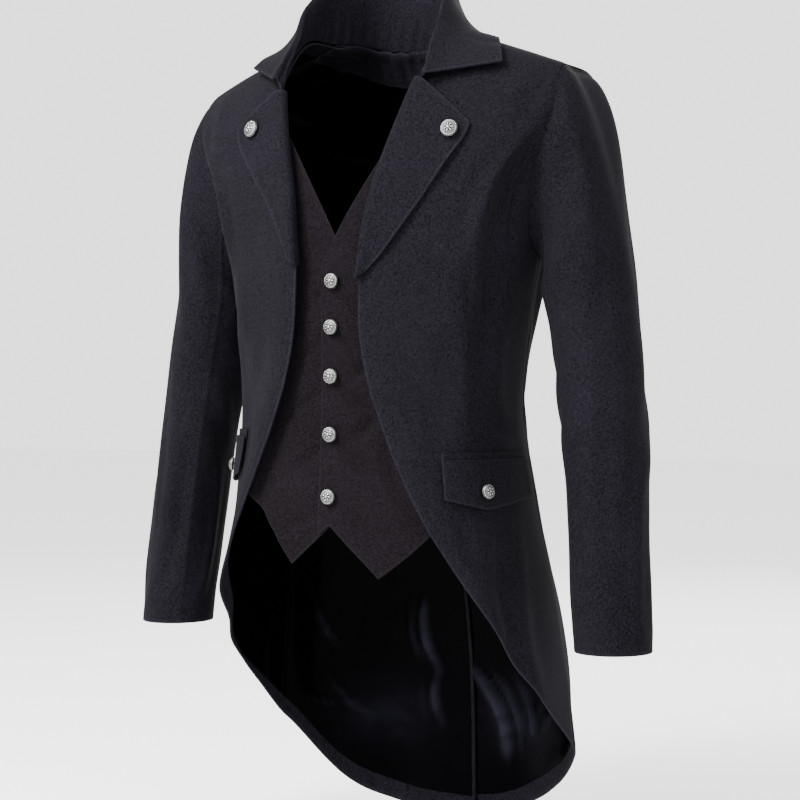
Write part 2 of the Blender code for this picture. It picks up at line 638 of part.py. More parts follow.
def build_buttons(metal):
    """Waistcoat, lapel and flap buttons."""
    for number, height in enumerate(BUTTON_HEIGHTS, 1):
        centre, way = seat(0.0, height, float(waist_offset(0.0, 1)), 1, lifted=False)
        button(f"waistcoat_button_{number}", centre, way, WAISTCOAT_BUTTON, metal)
    for word, side, angle, height in (("left", 1, 29.4, -0.124), ("right", -1, 25.0, -0.109)):
        centre, way = seat(math.radians(angle), height, 0.0050, side)
        button(f"lapel_button_{word}", centre, way, LAPEL_BUTTON, metal)
    for word, (side, top) in FLAPS.items():
        centre, way = seat(math.radians(63.0), top - 0.032, 0.0047, side)
        button(f"flap_button_{word}", centre, way, FLAP_BUTTON, metal)


def main():
    """Clear the scene and build the tailcoat."""
    for old in list(bpy.data.objects):
        bpy.data.objects.remove(old, do_unlink=True)
    frame = bpy.data.objects.new("tailcoat", None)
    bpy.context.scene.collection.objects.link(frame)
    cloth = material("coat_cloth", (0.022, 0.022, 0.026), 0.85)
    waist = material("waistcoat_cloth", (0.026, 0.023, 0.027), 0.82)
    satin = material("lining_satin", (0.008, 0.008, 0.010), 0.35)
    metal = material("button_pewter", (0.55, 0.54, 0.52), 0.35, 1.0)
    build_panels(cloth, satin)
    build_waistcoat(waist)
    build_lapels(cloth)
    build_collar(cloth)
    build_sleeves(cloth)
    build_pockets(cloth)
    build_buttons(metal)


main()
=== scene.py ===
"""A dressed tailcoat with a false waistcoat front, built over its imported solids.

Metres, +Z up, the wearer faces -Y and the wearer's left is +X. Every cloth piece is a thin shell
on the worn form: a point of it is given by an angle from centre front, a section number down the
form and an offset along the form's outward direction.
"""

import logging
import math
from dataclasses import dataclass, field
from enum import Enum

import bpy
import numpy as np
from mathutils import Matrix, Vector


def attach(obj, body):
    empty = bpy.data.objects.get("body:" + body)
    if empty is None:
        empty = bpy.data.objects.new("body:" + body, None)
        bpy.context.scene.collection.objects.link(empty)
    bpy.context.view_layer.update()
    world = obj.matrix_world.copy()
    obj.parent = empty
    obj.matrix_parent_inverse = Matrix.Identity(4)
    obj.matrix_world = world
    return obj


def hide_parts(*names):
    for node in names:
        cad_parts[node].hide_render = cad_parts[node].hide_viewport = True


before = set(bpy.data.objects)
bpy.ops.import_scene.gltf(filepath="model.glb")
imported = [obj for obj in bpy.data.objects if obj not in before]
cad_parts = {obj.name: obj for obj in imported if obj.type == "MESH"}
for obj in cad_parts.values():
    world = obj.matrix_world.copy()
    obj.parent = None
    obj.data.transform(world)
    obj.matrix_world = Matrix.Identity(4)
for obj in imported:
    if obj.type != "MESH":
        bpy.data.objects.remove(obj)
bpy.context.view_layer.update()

Array = np.ndarray
Colour = tuple[float, float, float]
Feed = bpy.types.NodeSocket | float | tuple[float, ...]
Feeds = dict[str | int, Feed]

LOG = logging.getLogger("tailcoat")

CLOTH = 0.0020
LINING = 0.0010
SEAM = 0.0003


def rows_of(*values: tuple[float, ...]) -> Array:
    """Dataclass field that holds a table, a row for each tuple."""
    return field(default_factory=lambda: np.array(values))


class Side(Enum):
    """The wearer's side that a piece belongs to."""

    LEFT = 1
    RIGHT = -1

    @property
    def word(self) -> str:
        """Name of the side in lower case."""
        return self.name.lower()


class Held(Enum):
    """How a sheet of cloth is held."""

    HUNG = "hung"
    LAID = "laid"
    FOLDED = "folded"


class Edge(Enum):
    """The four edges of a grid of points."""

    FIRST_COLUMN = "first column"
    LAST_COLUMN = "last column"
    FIRST_ROW = "first row"
    LAST_ROW = "last row"


# Curves, grids and meshes


def through(table: Array, t: Array) -> Array:
    """Smooth curve through the rows of a table, by cubic pieces with chord tangents.

    Args:
        table: Rows of values, the first axis being the row.
        t: Real row numbers, clipped to the table.

    Returns:
        One interpolated row for each number in t.
    """
    last = len(table) - 1
    t = np.clip(np.asarray(t, float), 0.0, last)
    i = np.clip(t.astype(int), 0, last - 1)
    f = (t - i).reshape(t.shape + (1,) * (table.ndim - 1))
    first = (i > 0).reshape(f.shape)
    final = (i < last - 1).reshape(f.shape)
    here, after = table[i], table[i + 1]
    before = table[np.maximum(i - 1, 0)]
    beyond = table[np.minimum(i + 2, last)]
    leave = np.where(first, (after - before) / 2, after - here)
    arrive = np.where(final, (beyond - here) / 2, after - here)
    f2 = f * f
    f3 = f2 * f
    near = (2 * f3 - 3 * f2 + 1) * here + (f3 - 2 * f2 + f) * leave
    return near + (3 * f2 - 2 * f3) * after + (f3 - f2) * arrive


def refined(grid: Array, rows: int, columns: int) -> Array:
    """A coarse grid carried through a smooth curve both ways.

    Args:
        grid: Control values, rows by columns by channels.
        rows: Rows wanted.
        columns: Columns wanted.

    Returns:
        The finer grid, rows by columns by channels.
    """
    down = through(grid, np.linspace(0, grid.shape[0] - 1, rows))
    across = through(np.swapaxes(down, 0, 1), np.linspace(0, grid.shape[1] - 1, columns))
    return np.swapaxes(across, 0, 1)


def crowded(count: int, ends: float) -> Array:
    """Shares from 0 to 1 that lie closer at both ends.

    Args:
        count: Number of intervals.
        ends: 0 for even spacing, near 1 for very close ends.

    Returns:
        count + 1 shares: t minus ends times sin(2 pi t) over 2 pi.
    """
    t = np.linspace(0, 1, count + 1)
    return t - ends * np.sin(2 * math.pi * t) / (2 * math.pi)


def run_lengths(grid: Array, axis: int) -> Array:
    """Distance along a grid of points from its first row or column.

    Args:
        grid: Points, rows by columns by 3.
        axis: 0 to run down the columns of points, 1 to run along the rows.

    Returns:
        Distances in metres, rows by columns.
    """
    step = np.linalg.norm(np.diff(grid, axis=axis), axis=-1)
    start = np.zeros_like(np.take(step, [0], axis=axis))
    return np.concatenate([start, np.cumsum(step, axis=axis)], axis=axis)


def edge_distances(grid: Array) -> dict[Edge, Array]:
    """Distance of each grid point from the grid's four edges, along the cloth.

    Args:
        grid: Points, rows by columns by 3.

    Returns:
        For each edge, distances in metres, rows by columns.
    """
    along = run_lengths(grid, 1)
    down = run_lengths(grid, 0)
    return {
        Edge.FIRST_COLUMN: along,
        Edge.LAST_COLUMN: along[:, -1:] - along,
        Edge.FIRST_ROW: down,
        Edge.LAST_ROW: down[-1:] - down,
    }


def grid_normals(grid: Array) -> Array:
    """Unit direction off a grid: the cross product of its row step and its column step."""
    n = np.cross(np.gradient(grid, axis=0), np.gradient(grid, axis=1))
    return n / np.maximum(np.linalg.norm(n, axis=-1, keepdims=True), 1e-12)


def cloth_area(grid: Array) -> float:
    """Area of a grid of points in square metres, two triangles to each cell.

    Args:
        grid: Points, rows by columns by 3.

    Returns:
        The area.
    """
    a, b, c, d = grid[:-1, :-1], grid[:-1, 1:], grid[1:, 1:], grid[1:, :-1]
    first = np.linalg.norm(np.cross(b - a, c - a), axis=-1)
    second = np.linalg.norm(np.cross(c - a, d - a), axis=-1)
    return float((first + second).sum() / 2)


def mesh_object(
    name: str,
    points: Array,
    faces: Array,
    finish: bpy.types.Material,
    uv: Array | None = None,
    **marks: Array,
) -> bpy.types.Object:
    """A smooth mesh object at the origin, from arrays.

    Args:
        name: Name of the object and its mesh.
        points: Vertices, n by 3.
        faces: Quads, m by 4, each of them facing outwards.
        finish: Its material.
        uv: Cloth coordinates in metres, n by 2.
        marks: Named values for each point, which a material can read.

    Returns:
        The new object, linked to the scene.
    """
    mesh = bpy.data.meshes.new(name)
    mesh.vertices.add(len(points))
    mesh.vertices.foreach_set("co", np.ascontiguousarray(points, np.float32).ravel())
    mesh.loops.add(faces.size)
    mesh.loops.foreach_set("vertex_index", np.ascontiguousarray(faces, np.int32).ravel())
    mesh.polygons.add(len(faces))
    mesh.polygons.foreach_set("loop_start", np.arange(0, faces.size, faces.shape[1], dtype=np.int32))
    mesh.polygons.foreach_set("use_smooth", np.ones(len(faces), bool))
    mesh.update(calc_edges=True)
    mesh.validate()
    if uv is not None:
        layer = mesh.uv_layers.new(name="cloth")
        corner = np.zeros(len(mesh.loops), np.int32)
        mesh.loops.foreach_get("vertex_index", corner)
        layer.data.foreach_set("uv", np.ascontiguousarray(uv[corner], np.float32).ravel())
    for mark, values in marks.items():
        made = mesh.attributes.new(mark, "FLOAT", "POINT")
        made.data.foreach_set("value", np.ascontiguousarray(values, np.float32).ravel())
    mesh.materials.append(finish)
    made = bpy.data.objects.new(name, mesh)
    bpy.context.scene.collection.objects.link(made)
    return made


def wall(
    name: str,
    outer: Array,
    inner: Array,
    finish: bpy.types.Material,
    side: Side = Side.LEFT,
    free: tuple[Edge, ...] = (),
    rounding: float = 0.0006,
    cloth: Array | None = None,
    ridge: Array | None = None,
) -> bpy.types.Object:
    """A closed cloth wall between two grids of points, with softened edges.

    Args:
        name: Name of the piece.
        outer: Points of the outer face, rows by columns by 3.
        inner: Points of the inner face, the same shape.
        finish: Its material.
        side: The wearer's right is mirrored from the left.
        free: Edges that get a painted highlight along them.
        rounding: Width of the soft corner along the wall's edges.
        cloth: Cloth coordinates in metres, or none to measure them from the first row and column.
        ridge: How much painted highlight each point gets on the top of a fold, or none.

    Returns:
        The piece.
    """
    rows, columns = outer.shape[:2]
    count = rows * columns
    points = np.concatenate([outer.reshape(-1, 3), inner.reshape(-1, 3)])
    index = np.arange(count).reshape(rows, columns)
    flat = np.stack([index[:-1, :-1], index[:-1, 1:], index[1:, 1:], index[1:, :-1]], -1).reshape(-1, 4)
    rim = np.concatenate([index[0, :], index[1:, -1], index[-1, -2::-1], index[-2:0:-1, 0]])
    after = np.roll(rim, -1)
    edge = np.stack([after, rim, rim + count, after + count], -1)
    faces = np.concatenate([flat, flat[:, ::-1] + count, edge])
    points = points * np.array([side.value, 1, 1])
    a, b, c, d = (points[faces[:, i]] for i in range(4))
    volume = np.einsum("ij,ij->i", a, np.cross(b, c)).sum() + np.einsum("ij,ij->i", a, np.cross(c, d)).sum()
    if volume < 0:
        faces = faces[:, ::-1]
    distance = edge_distances(outer)
    # Painted highlight: the colour is made lighter along the free edges and on the tops of folds, through a
    # mark on each point that the materials read.
    shine = np.zeros((rows, columns))
    for which in free:
        shine = np.maximum(shine, np.exp(-((distance[which] / 0.0022) ** 2)))
    if ridge is not None:
        shine = np.maximum(shine, ridge)
    if cloth is None:
        cloth = np.stack([distance[Edge.FIRST_COLUMN], distance[Edge.FIRST_ROW]], -1)
    uv = cloth.reshape(-1, 2)
    made = mesh_object(
        name, points, faces, finish, np.concatenate([uv, uv]), pressed=np.tile(shine.ravel(), 2)
    )
    bevel = made.modifiers.new("soft edge", "BEVEL")
    bevel.width = rounding
    bevel.segments = 2
    bevel.limit_method = "ANGLE"
    bevel.angle_limit = math.radians(55)
    return made


def hang(
    piece: bpy.types.Object, points: Array, slot: str, held: Held, rests_on: list[str], *nodes: str
) -> None:
    """Attach a cloth piece to the root body, hide the solids that it stands for, and log the size of its cut.

    Args:
        piece: The cloth piece.
        points: Its outer face, rows by columns by 3, from which the cut is measured.
        slot: Material slot, not used.
        held: How the sheet is held, not used.
        rests_on: Names of the nodes that carry it, not used.
        nodes: CAD nodes that the piece stands for.
    """
    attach(piece, "root")
    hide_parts(*nodes)
    width = float(run_lengths(points, 1)[:, -1].max())
    length = float(run_lengths(points, 0)[-1].max())
    area = cloth_area(points)
    width = max(width, area / length)
    LOG.info("%s: flat %.3f x %.3f m, area %.4f m2", piece.name, width, length, area)


def line_inside(grid: Array, which: Edge, distance: float) -> tuple[Array, Array]:
    """A line on a grid of points at a set distance inside one edge.

    Args:
        grid: Points, rows by columns by 3.
        which: The edge.
        distance: Metres in from it.

    Returns:
        Points of the line and the grid's outward direction at each.
    """
    normal = grid_normals(grid)
    if which in (Edge.FIRST_ROW, Edge.LAST_ROW):
        grid, normal = np.swapaxes(grid, 0, 1), np.swapaxes(normal, 0, 1)
    if which in (Edge.LAST_COLUMN, Edge.LAST_ROW):
        grid, normal = grid[:, ::-1], normal[:, ::-1]
    run = run_lengths(grid, 1)
    column = np.minimum((run < distance).sum(1), grid.shape[1] - 1)
    row = np.arange(len(grid))
    low, high = run[row, column - 1], run[row, column]
    share = np.clip((distance - low) / np.maximum(high - low, 1e-9), 0, 1)[:, None]
    points = grid[row, column - 1] * (1 - share) + grid[row, column] * share
    return points, normal[row, column]


# The worn form


@dataclass
class WornForm:
    """The hollow figure that the coat fills out, as sections down its height.

    A section is an oval with slightly squared quarters: x is half width times (sin a + q sin 3a)
    over (1 - q) and y is depth times (cos a - q cos 3a) over (1 - q). Heights fall away from the
    neck along the shoulder slope. The first section is the shoulder seam itself.
    """

    squareness: float = 0.05
    shoulder_slope: float = 0.37
    neck_half_width: float = 0.072
    seam_level: float = 0.010
    # Height at the neck, half width, front depth, back depth, centre y, slope share
    sections: Array = rows_of(
        (0.0, 0.255, 0.0, 0.0, 0.005, 1.0), (-0.005, 0.253, 0.044, 0.06, 0.004, 0.98),
        (-0.045, 0.243, 0.08, 0.086, 0.002, 0.88), (-0.1, 0.222, 0.101, 0.105, 0.0, 0.62),
        (-0.165, 0.197, 0.115, 0.113, -0.001, 0.25), (-0.235, 0.177, 0.12, 0.11, -0.003, 0.0),
        (-0.31, 0.161, 0.117, 0.1, -0.009, 0.0), (-0.4, 0.152, 0.113, 0.092, -0.014, 0.0),
        (-0.5, 0.161, 0.123, 0.112, -0.009, 0.0), (-0.6, 0.175, 0.134, 0.137, -0.002, 0.0),
        (-0.7, 0.186, 0.143, 0.15, 0.0, 0.0), (-0.8, 0.189, 0.147, 0.154, 0.0, 0.0),
        (-0.9, 0.188, 0.147, 0.154, 0.0, 0.0),
    )
    # Height, how far the free front edge stands off the waistcoat
    edge_lift: Array = rows_of(
        (-0.72, 0.001), (-0.62, 0.004), (-0.52, 0.008), (-0.4, 0.01), (-0.262, 0.008), (-0.19, 0.004),
        (-0.1, 0.002), (0.0, 0.0),
    )
    # Angle top, height top, angle bottom, height bottom, width, height of the fold
    folds: Array = rows_of(
        (62.0, -0.15, 66.0, -0.33, 0.02, -0.005), (48.0, -0.33, 40.0, -0.46, 0.018, -0.0025),
        (140.0, -0.54, 136.0, -0.88, 0.03, -0.008), (160.0, -0.56, 157.0, -0.88, 0.024, 0.0075),
        (118.0, -0.56, 112.0, -0.8, 0.03, 0.005), (128.0, -0.15, 140.0, -0.3, 0.024, -0.004),
    )

    def drop(self, x: Array) -> Array:
        """Fall of the shoulder line at a distance from the neck.

        Args:
            x: Distances across from the middle.

        Returns:
            Falls in metres, the shape of x.
        """
        reach = np.abs(x) - self.neck_half_width
        soft = reach + np.sqrt(reach * reach + 0.0003)
        rest = -self.neck_half_width + math.sqrt(self.neck_half_width**2 + 0.0003)
        return self.shoulder_slope * 0.5 * (soft - rest)

    def point(self, phi: Array, level: Array) -> Array:
        """Point of the form at an angle from centre front and a section number.

        Args:
            phi: Angles from centre front in radians.
            level: Section numbers, the shape of phi.

        Returns:
            Points, the shape of phi by 3.
        """
        row = through(self.sections, level)
        height, width, front, back, middle, slope = (row[..., i] for i in range(6))
        q = self.squareness
        sine = (np.sin(phi) + q * np.sin(3 * phi)) / (1 - q)
        cosine = (np.cos(phi) - q * np.cos(3 * phi)) / (1 - q)
        x = width * sine
        y = middle - np.where(cosine > 0, front, back) * cosine
        return np.stack([x, y, height - slope * self.drop(x)], -1)

    def level_at(self, phi: Array, height: Array) -> Array:
        """Section number where the form passes a height, found by halving.

        Args:
            phi: Angles from centre front in radians.
            height: Heights in metres.

        Returns:
            Section numbers.
        """
        phi, height = np.broadcast_arrays(np.asarray(phi, float), np.asarray(height, float))
        low = np.zeros(phi.shape)
        high = np.full(phi.shape, len(self.sections) - 1.0)
        for _ in range(34):
            half = (low + high) / 2
            above = self.point(phi, half)[..., 2] > height
            low = np.where(above, half, low)
            high = np.where(above, high, half)
        return (low + high) / 2

    def normal(self, phi: Array, level: Array) -> Array:
        """Outward direction of the form.

        Args:
            phi: Angles from centre front in radians.
            level: Section numbers, the shape of phi.

        Returns:
            Unit directions, the shape of phi by 3.
        """
        step = 1e-4
        level = np.maximum(level, 2 * step)
        around = self.point(phi + step, level) - self.point(phi - step, level)
        down = self.point(phi, level + step) - self.point(phi, level - step)
        n = np.cross(down, around)
        return n / np.linalg.norm(n, axis=-1, keepdims=True)

    def stand_off(self, phi: Array, level: Array) -> Array:
        """Lift of the free front edge and of the large drape folds.

        The lift dies away from the edge as exp(-(d / 32 mm) squared). A fold is a soft ridge or
        trough across, carried down a slanting line, and the tail's folds deepen towards the hem.

        Args:
            phi: Angles from centre front in radians.
            level: Section numbers, the shape of phi.

        Returns:
            Offsets in metres, the shape of phi.
        """
        point = self.point(phi, level)
        height = point[..., 2]
        line = np.concatenate([CUTAWAY, ROLL_LINE[1:-1]])
        edge = np.radians(np.interp(height, line[:, 1:].mean(1), line[:, 0]))
        away = (phi - edge) * np.hypot(point[..., 0], point[..., 1])
        lift = np.interp(height, self.edge_lift[:, 0], self.edge_lift[:, 1]) * np.exp(-((away / 0.032) ** 2))
        for top, high, bottom, low, width, rise in self.folds:
            share = np.clip((high - height) / (high - low), -0.3, 1.3)
            centre = np.radians(top + (bottom - top) * share)
            across = (phi - centre) * 0.15 / width
            along = 1 / (1 + np.exp(-14 * share)) / (1 + np.exp(14 * (share - 1)))
            if bottom > 110 and low < -0.79:
                along = np.clip(share, 0, 1.3) ** 1.4
            lift = lift + rise * np.exp(-across * across) * along
        return lift

    def laid(self, phi: Array, level: Array, offset: Array) -> Array:
        """Points of a layer at an offset from the worn form and its folds."""
        reach = self.stand_off(phi, level) + offset
        return self.point(phi, level) + self.normal(phi, level) * reach[..., None]

    def faces(self, grid: Array, offset: Array, thickness: float) -> tuple[Array, Array]:
        """Outer and inner face of a cloth laid at an offset, from a grid of angle and section pairs."""
        phi, level = grid[..., 0], grid[..., 1]
        return self.laid(phi, level, offset), self.laid(phi, level, offset - thickness)

    def seam(self, table: Array, count: int, side: Side, shares: Array | None = None) -> Array:
        """Angle and section pairs along an edge table, spaced by length.

        Args:
            table: Rows of angle in degrees, height on the left, height on the right.
            count: Pairs wanted.
            side: Which height column is used.
            shares: Shares of the length, even where not given.

        Returns:
            count rows of angle in radians and section number.
        """
        height = table[:, 1] if side is Side.LEFT else table[:, 2]
        knots = self.level_at(np.radians(table[:, 0]), np.minimum(height, 0.0))
        knots = np.where(height > 0.5, 0.0, knots)
        rows = through(np.stack([np.radians(table[:, 0]), knots], -1), np.linspace(0, len(table) - 1, 600))
        phi, level = rows[:, 0], np.maximum(rows[:, 1], 0.0)
        points = self.point(phi, level)
        run = np.concatenate([[0], np.cumsum(np.linalg.norm(np.diff(points, axis=0), axis=1))])
        want = (np.linspace(0, 1, count) if shares is None else shares) * run[-1]
        return np.stack([np.interp(want, run, phi), np.interp(want, run, level)], -1)


# Edges over the form: angle from centre front in degrees, height on the wearer's left,
# height on the wearer's right. Height 1 is the shoulder seam.
CUTAWAY = np.array((
    (84.5, -0.7, -0.676), (67.5, -0.649, -0.628), (49.5, -0.583, -0.564), (37.7, -0.532, -0.515),
    (31.8, -0.5, -0.486), (25.8, -0.461, -0.45), (20.5, -0.42, -0.413), (15.2, -0.375, -0.37),
    (11.6, -0.325, -0.32), (10.4, -0.27, -0.2545),
))
ROLL_LINE = np.array((
    (10.4, -0.27, -0.2545), (12.4, -0.192, -0.196), (15.4, -0.125, -0.118), (17.2, -0.069, -0.069),
    (16.4, -0.028, -0.028), (14.8, 1.0, 1.0),
))
SIDE_SEAM = np.array((
    (110.0, -0.757, -0.75), (109.0, -0.57, -0.565), (106.0, -0.4, -0.4), (100.0, -0.31, -0.31),
    (93.0, -0.246, -0.246),
))
ARMHOLE_FRONT = np.array((
    (93.0, -0.246, -0.246), (81.5, -0.229, -0.229), (73.5, -0.192, -0.192), (66.0, -0.15, -0.15),
    (58.0, -0.1, -0.1), (52.5, -0.07, -0.07), (48.0, 1.0, 1.0),
))
ARMHOLE_BACK = np.array((
    (93.0, -0.246, -0.246), (102.5, -0.229, -0.229), (107.5, -0.192, -0.192), (114.0, -0.15, -0.15),
    (122.0, -0.1, -0.1), (127.5, -0.07, -0.07), (132.0, 1.0, 1.0),
))
BACK_HEM = np.array((
    (110.0, -0.757, -0.75), (117.0, -0.771, -0.768), (130.0, -0.799, -0.807), (141.0, -0.818, -0.833),
    (152.0, -0.836, -0.851), (165.0, -0.857, -0.862), (180.0, -0.866, -0.866),
))
SPINE_LOW = np.array((
    (180.0, -0.866, -0.866), (180.0, -0.6, -0.6), (180.0, -0.4, -0.4), (180.0, -0.246, -0.246),
))
SPINE_HIGH = np.array((
    (180.0, -0.246, -0.246), (180.0, -0.15, -0.15), (180.0, -0.05, -0.05),
))
BACK_NECK = np.array((
    (132.0, 1.0, 1.0), (150.0, 1.0, 1.0), (165.2, 1.0, 1.0), (171.0, -0.0045, -0.0045),
    (180.0, -0.009, -0.009),
))


def creases(s: Array, z: Array, table: Array) -> Array:
    """Sum of soft troughs and ridges, each along its own short line.

    A crease is depth times exp(-(d / width) squared), d being the distance from its line, and it
    fades towards both ends as the sine of the share along it.

    Args:
        s: Distance round the form in metres.
        z: Height in metres.
        table: Rows of start s, start z, end s, end z, width, depth.

    Returns:
        Offsets in metres, the shape of s.
    """
    total = np.zeros(s.shape)
    for s0, z0, s1, z1, width, depth in table:
        ds, dz = s1 - s0, z1 - z0
        length = ds * ds + dz * dz
        share = np.clip(((s - s0) * ds + (z - z0) * dz) / length, -0.15, 1.15)
        bend = 0.10 * math.sqrt(length) * np.sin(math.pi * share)
        across = ((s - s0) * dz - (z - z0) * ds) / math.sqrt(length) - bend
        fade = np.sin(math.pi * np.clip((share + 0.15) / 1.3, 0, 1)) ** 1.5
        shape = np.exp(-((across / width) ** 2)) - 0.45 * np.exp(-(((across - 1.9 * width) / width) ** 2))
        total += depth * shape * fade
    return total


def unevenness(s: Array, z: Array, size: float) -> Array:
    """Slow hand-made waviness of cloth: five slanting sine waves of different length.

    Args:
        s: Distance round the form in metres.
        z: Height in metres.
        size: Largest offset in metres.

    Returns:
        Offsets in metres, the shape of s.
    """
    wave = np.sin(31 * s + 17 * z + 0.4) + 0.8 * np.sin(47 * s - 29 * z + 2.1) + 0.6 * np.sin(83 * z + 1.3)
    wave += 0.45 * np.sin(97 * s + 61 * z + 0.9) + 0.35 * np.sin(131 * s - 83 * z + 4.0)
    return size * wave / 3.2


# Shader groups and finishes


@dataclass
class Graph:
    """A node tree, with short ways to add nodes to it."""

    tree: bpy.types.NodeTree

    def feed(self, node: bpy.types.Node, feeds: Feeds) -> None:
        """Set or link a node's inputs.

        Args:
            node: The node.
            feeds: A number, a colour or another node's output for each input's name or place.
        """
        for socket, value in feeds.items():
            if isinstance(value, bpy.types.NodeSocket):
                self.tree.links.new(value, node.inputs[socket])
            else:
                node.inputs[socket].default_value = value

    def node(self, kind: str, feeds: Feeds, **settings: str | bpy.types.NodeTree) -> bpy.types.NodeOutputs:
        """Add a node.

        Args:
            kind: Its type, without the word ShaderNode.
            feeds: What goes into its inputs.
            settings: Its own properties.

        Returns:
            Its outputs.
        """
        made = self.tree.nodes.new("ShaderNode" + kind)
        for key, value in settings.items():
            setattr(made, key, value)
        self.feed(made, feeds)
        return made.outputs

    def maths(self, operation: str, a: Feed, b: Feed) -> bpy.types.NodeSocket:
        """Result of a maths node on two outputs or numbers."""
        return self.node("Math", {0: a, 1: b}, operation=operation)[0]

    def add(self, a: Feed, b: Feed) -> bpy.types.NodeSocket:
        """Sum of two outputs or numbers."""
        return self.maths("ADD", a, b)

    def times(self, a: Feed, b: Feed) -> bpy.types.NodeSocket:
        """Product of two outputs or numbers."""
        return self.maths("MULTIPLY", a, b)

    def less(self, a: Feed, b: Feed) -> bpy.types.NodeSocket:
        """The first output or number less the second."""
        return self.maths("SUBTRACT", a, b)

    def clamp(self, a: bpy.types.NodeSocket) -> bpy.types.NodeSocket:
        """An output held between 0 and 1."""
        return self.node("Clamp", {0: a})[0]

    def mix(self, share: Feed, a: Feed, b: Feed) -> bpy.types.NodeSocket:
        """A colour between two colours."""
        return self.node("Mix", {"Factor": share, 6: a, 7: b}, data_type="RGBA")[2]

    def noise(
        self, vector: bpy.types.NodeSocket, scale: float, detail: float, **more: float
    ) -> bpy.types.NodeSocket:
        """Value of a noise texture."""
        return self.node("TexNoise", {"Vector": vector, "Scale": scale, "Detail": detail, **more})["Fac"]

    def stretched(self, vector: bpy.types.NodeSocket, scale: Colour) -> bpy.types.NodeSocket:
        """Coordinates scaled along each axis."""
        return self.node("Mapping", {"Vector": vector, "Scale": scale})[0]


@dataclass
class Effect(Graph):
    """A shader group from coordinates, numbers and colours to colour, height and roughness."""

    @classmethod
    def named(cls, name: str, numbers: tuple[str, ...], colours: tuple[str, ...]) -> "Effect":
        """A new group with named sockets.

        Args:
            name: Name of the group.
            numbers: Its number inputs.
            colours: Its colour inputs.

        Returns:
            The group, still empty.
        """
        tree = bpy.data.node_groups.new(name, "ShaderNodeTree")
        inputs = {"Vector": "Vector", **dict.fromkeys(numbers, "Float"), **dict.fromkeys(colours, "Color")}
        outputs = {"Color": "Color", "Height": "Float", "Roughness": "Float"}
        for way, sockets in (("INPUT", inputs), ("OUTPUT", outputs)):
            for socket, kind in sockets.items():
                tree.interface.new_socket(socket, in_out=way, socket_type="NodeSocket" + kind)
        return cls(tree)

    def given(self) -> bpy.types.NodeOutputs:
        """What is led into the group."""
        return self.tree.nodes.new("NodeGroupInput").outputs

    def give(self, colour: Feed, height: Feed, roughness: Feed) -> bpy.types.NodeTree:
        """Lead three results out of the group, and return its tree.

        Args:
            colour: The colour.
            height: The height for a bump.
            roughness: The roughness.

        Returns:
            The finished group.
        """
        results = {"Color": colour, "Height": height, "Roughness": roughness}
        self.feed(self.tree.nodes.new("NodeGroupOutput"), results)
        return self.tree


def weave_group() -> bpy.types.NodeTree:
    """Shader group for a twill of two thread colours.

    Diagonal bands give the twill, crossed by finer bands for the threads, and stretched noise
    gives the flecked, heathered yarn. A slow noise shades whole areas a little.

    Returns:
        The group.
    """
    g = Effect.named("twill weave", ("Threads", "Fleck", "Pressed"), ("Dark", "Light"))
    given = g.given()
    scaled = g.node("VectorMath", {0: given["Vector"], "Scale": given["Threads"]}, operation="SCALE")[0]
    diagonal, upright = (
        g.node(
            "TexWave", {"Vector": scaled, "Scale": size, "Distortion": 0.6, "Detail": 1.0},
            wave_type="BANDS", bands_direction=direction,
        )["Fac"]
        for direction, size in (("DIAGONAL", 1.0), ("X", 1.4))
    )
    twill = g.add(g.times(diagonal, 0.6), g.times(upright, 0.4))
    weft, warp = (
        g.noise(g.stretched(scaled, stretch), 1.7, 2.5, Roughness=0.65)
        for stretch in ((0.85, 0.85, 0.36), (0.42, 0.42, 1.0))
    )
    yarn = g.times(g.add(weft, warp), 0.5)
    contrast = g.node("MapRange", {"Value": yarn, "From Min": 0.40, "From Max": 0.60})[0]
    slow = g.noise(given["Vector"], 9.0, 2.0)
    share = g.add(g.times(contrast, given["Fleck"]), g.times(twill, 0.22))
    share = g.add(share, g.times(g.less(slow, 0.5), 0.35))
    # Painted highlight: the mark makes the cloth lighter along its free edges.
    share = g.clamp(g.add(share, g.times(given["Pressed"], 0.35)))
    height = g.add(g.times(twill, 0.7), g.times(yarn, 0.5))
    return g.give(g.mix(share, given["Dark"], given["Light"]), height, g.less(0.95, g.times(share, 0.12)))


def satin_group() -> bpy.types.NodeTree:
    """Shader group for satin: long floating threads, painted sheen on its small creases, and a painted
    highlight along its folds.

    Returns:
        The group.
    """
    g = Effect.named("satin float", ("Pressed",), ("Base", "Bright", "Fold"))
    given = g.given()
    threads = g.noise(g.stretched(given["Vector"], (2600.0, 160.0, 1.0)), 1.0, 2.0)
    crease = g.noise(given["Vector"], 26.0, 5.0, Distortion=1.4)
    # Painted sheen: the bright colour where the crease noise rises, then a painted highlight along the folds
    # that the mark gives.
    flat = g.mix(crease, given["Base"], given["Bright"])
    fold = g.clamp(g.times(given["Pressed"], g.times(crease, 1.5)))
    height = g.add(g.times(threads, 0.06), crease)
    return g.give(g.mix(fold, flat, given["Fold"]), height, g.add(0.24, g.times(crease, 0.12)))


def patina_group() -> bpy.types.NodeTree:
    """Shader group for old metal: dark in the hollows, bright on the worn relief, as patina and wear and also
    as painted shade and painted highlight in place of the metal's reflections.

    Returns:
        The group.
    """
    g = Effect.named("patina", ("Relief",), ("Dark", "Bright"))
    given = g.given()
    grain = g.noise(given["Vector"], 900.0, 4.0)
    # Patina and wear, and painted shade and painted highlight: dark in the hollows, bright on the raised
    # relief.
    worn = g.clamp(g.add(given["Relief"], g.times(g.less(grain, 0.5), 0.3)))
    return g.give(g.mix(worn, given["Dark"], given["Bright"]), grain, g.less(0.48, g.times(worn, 0.22)))


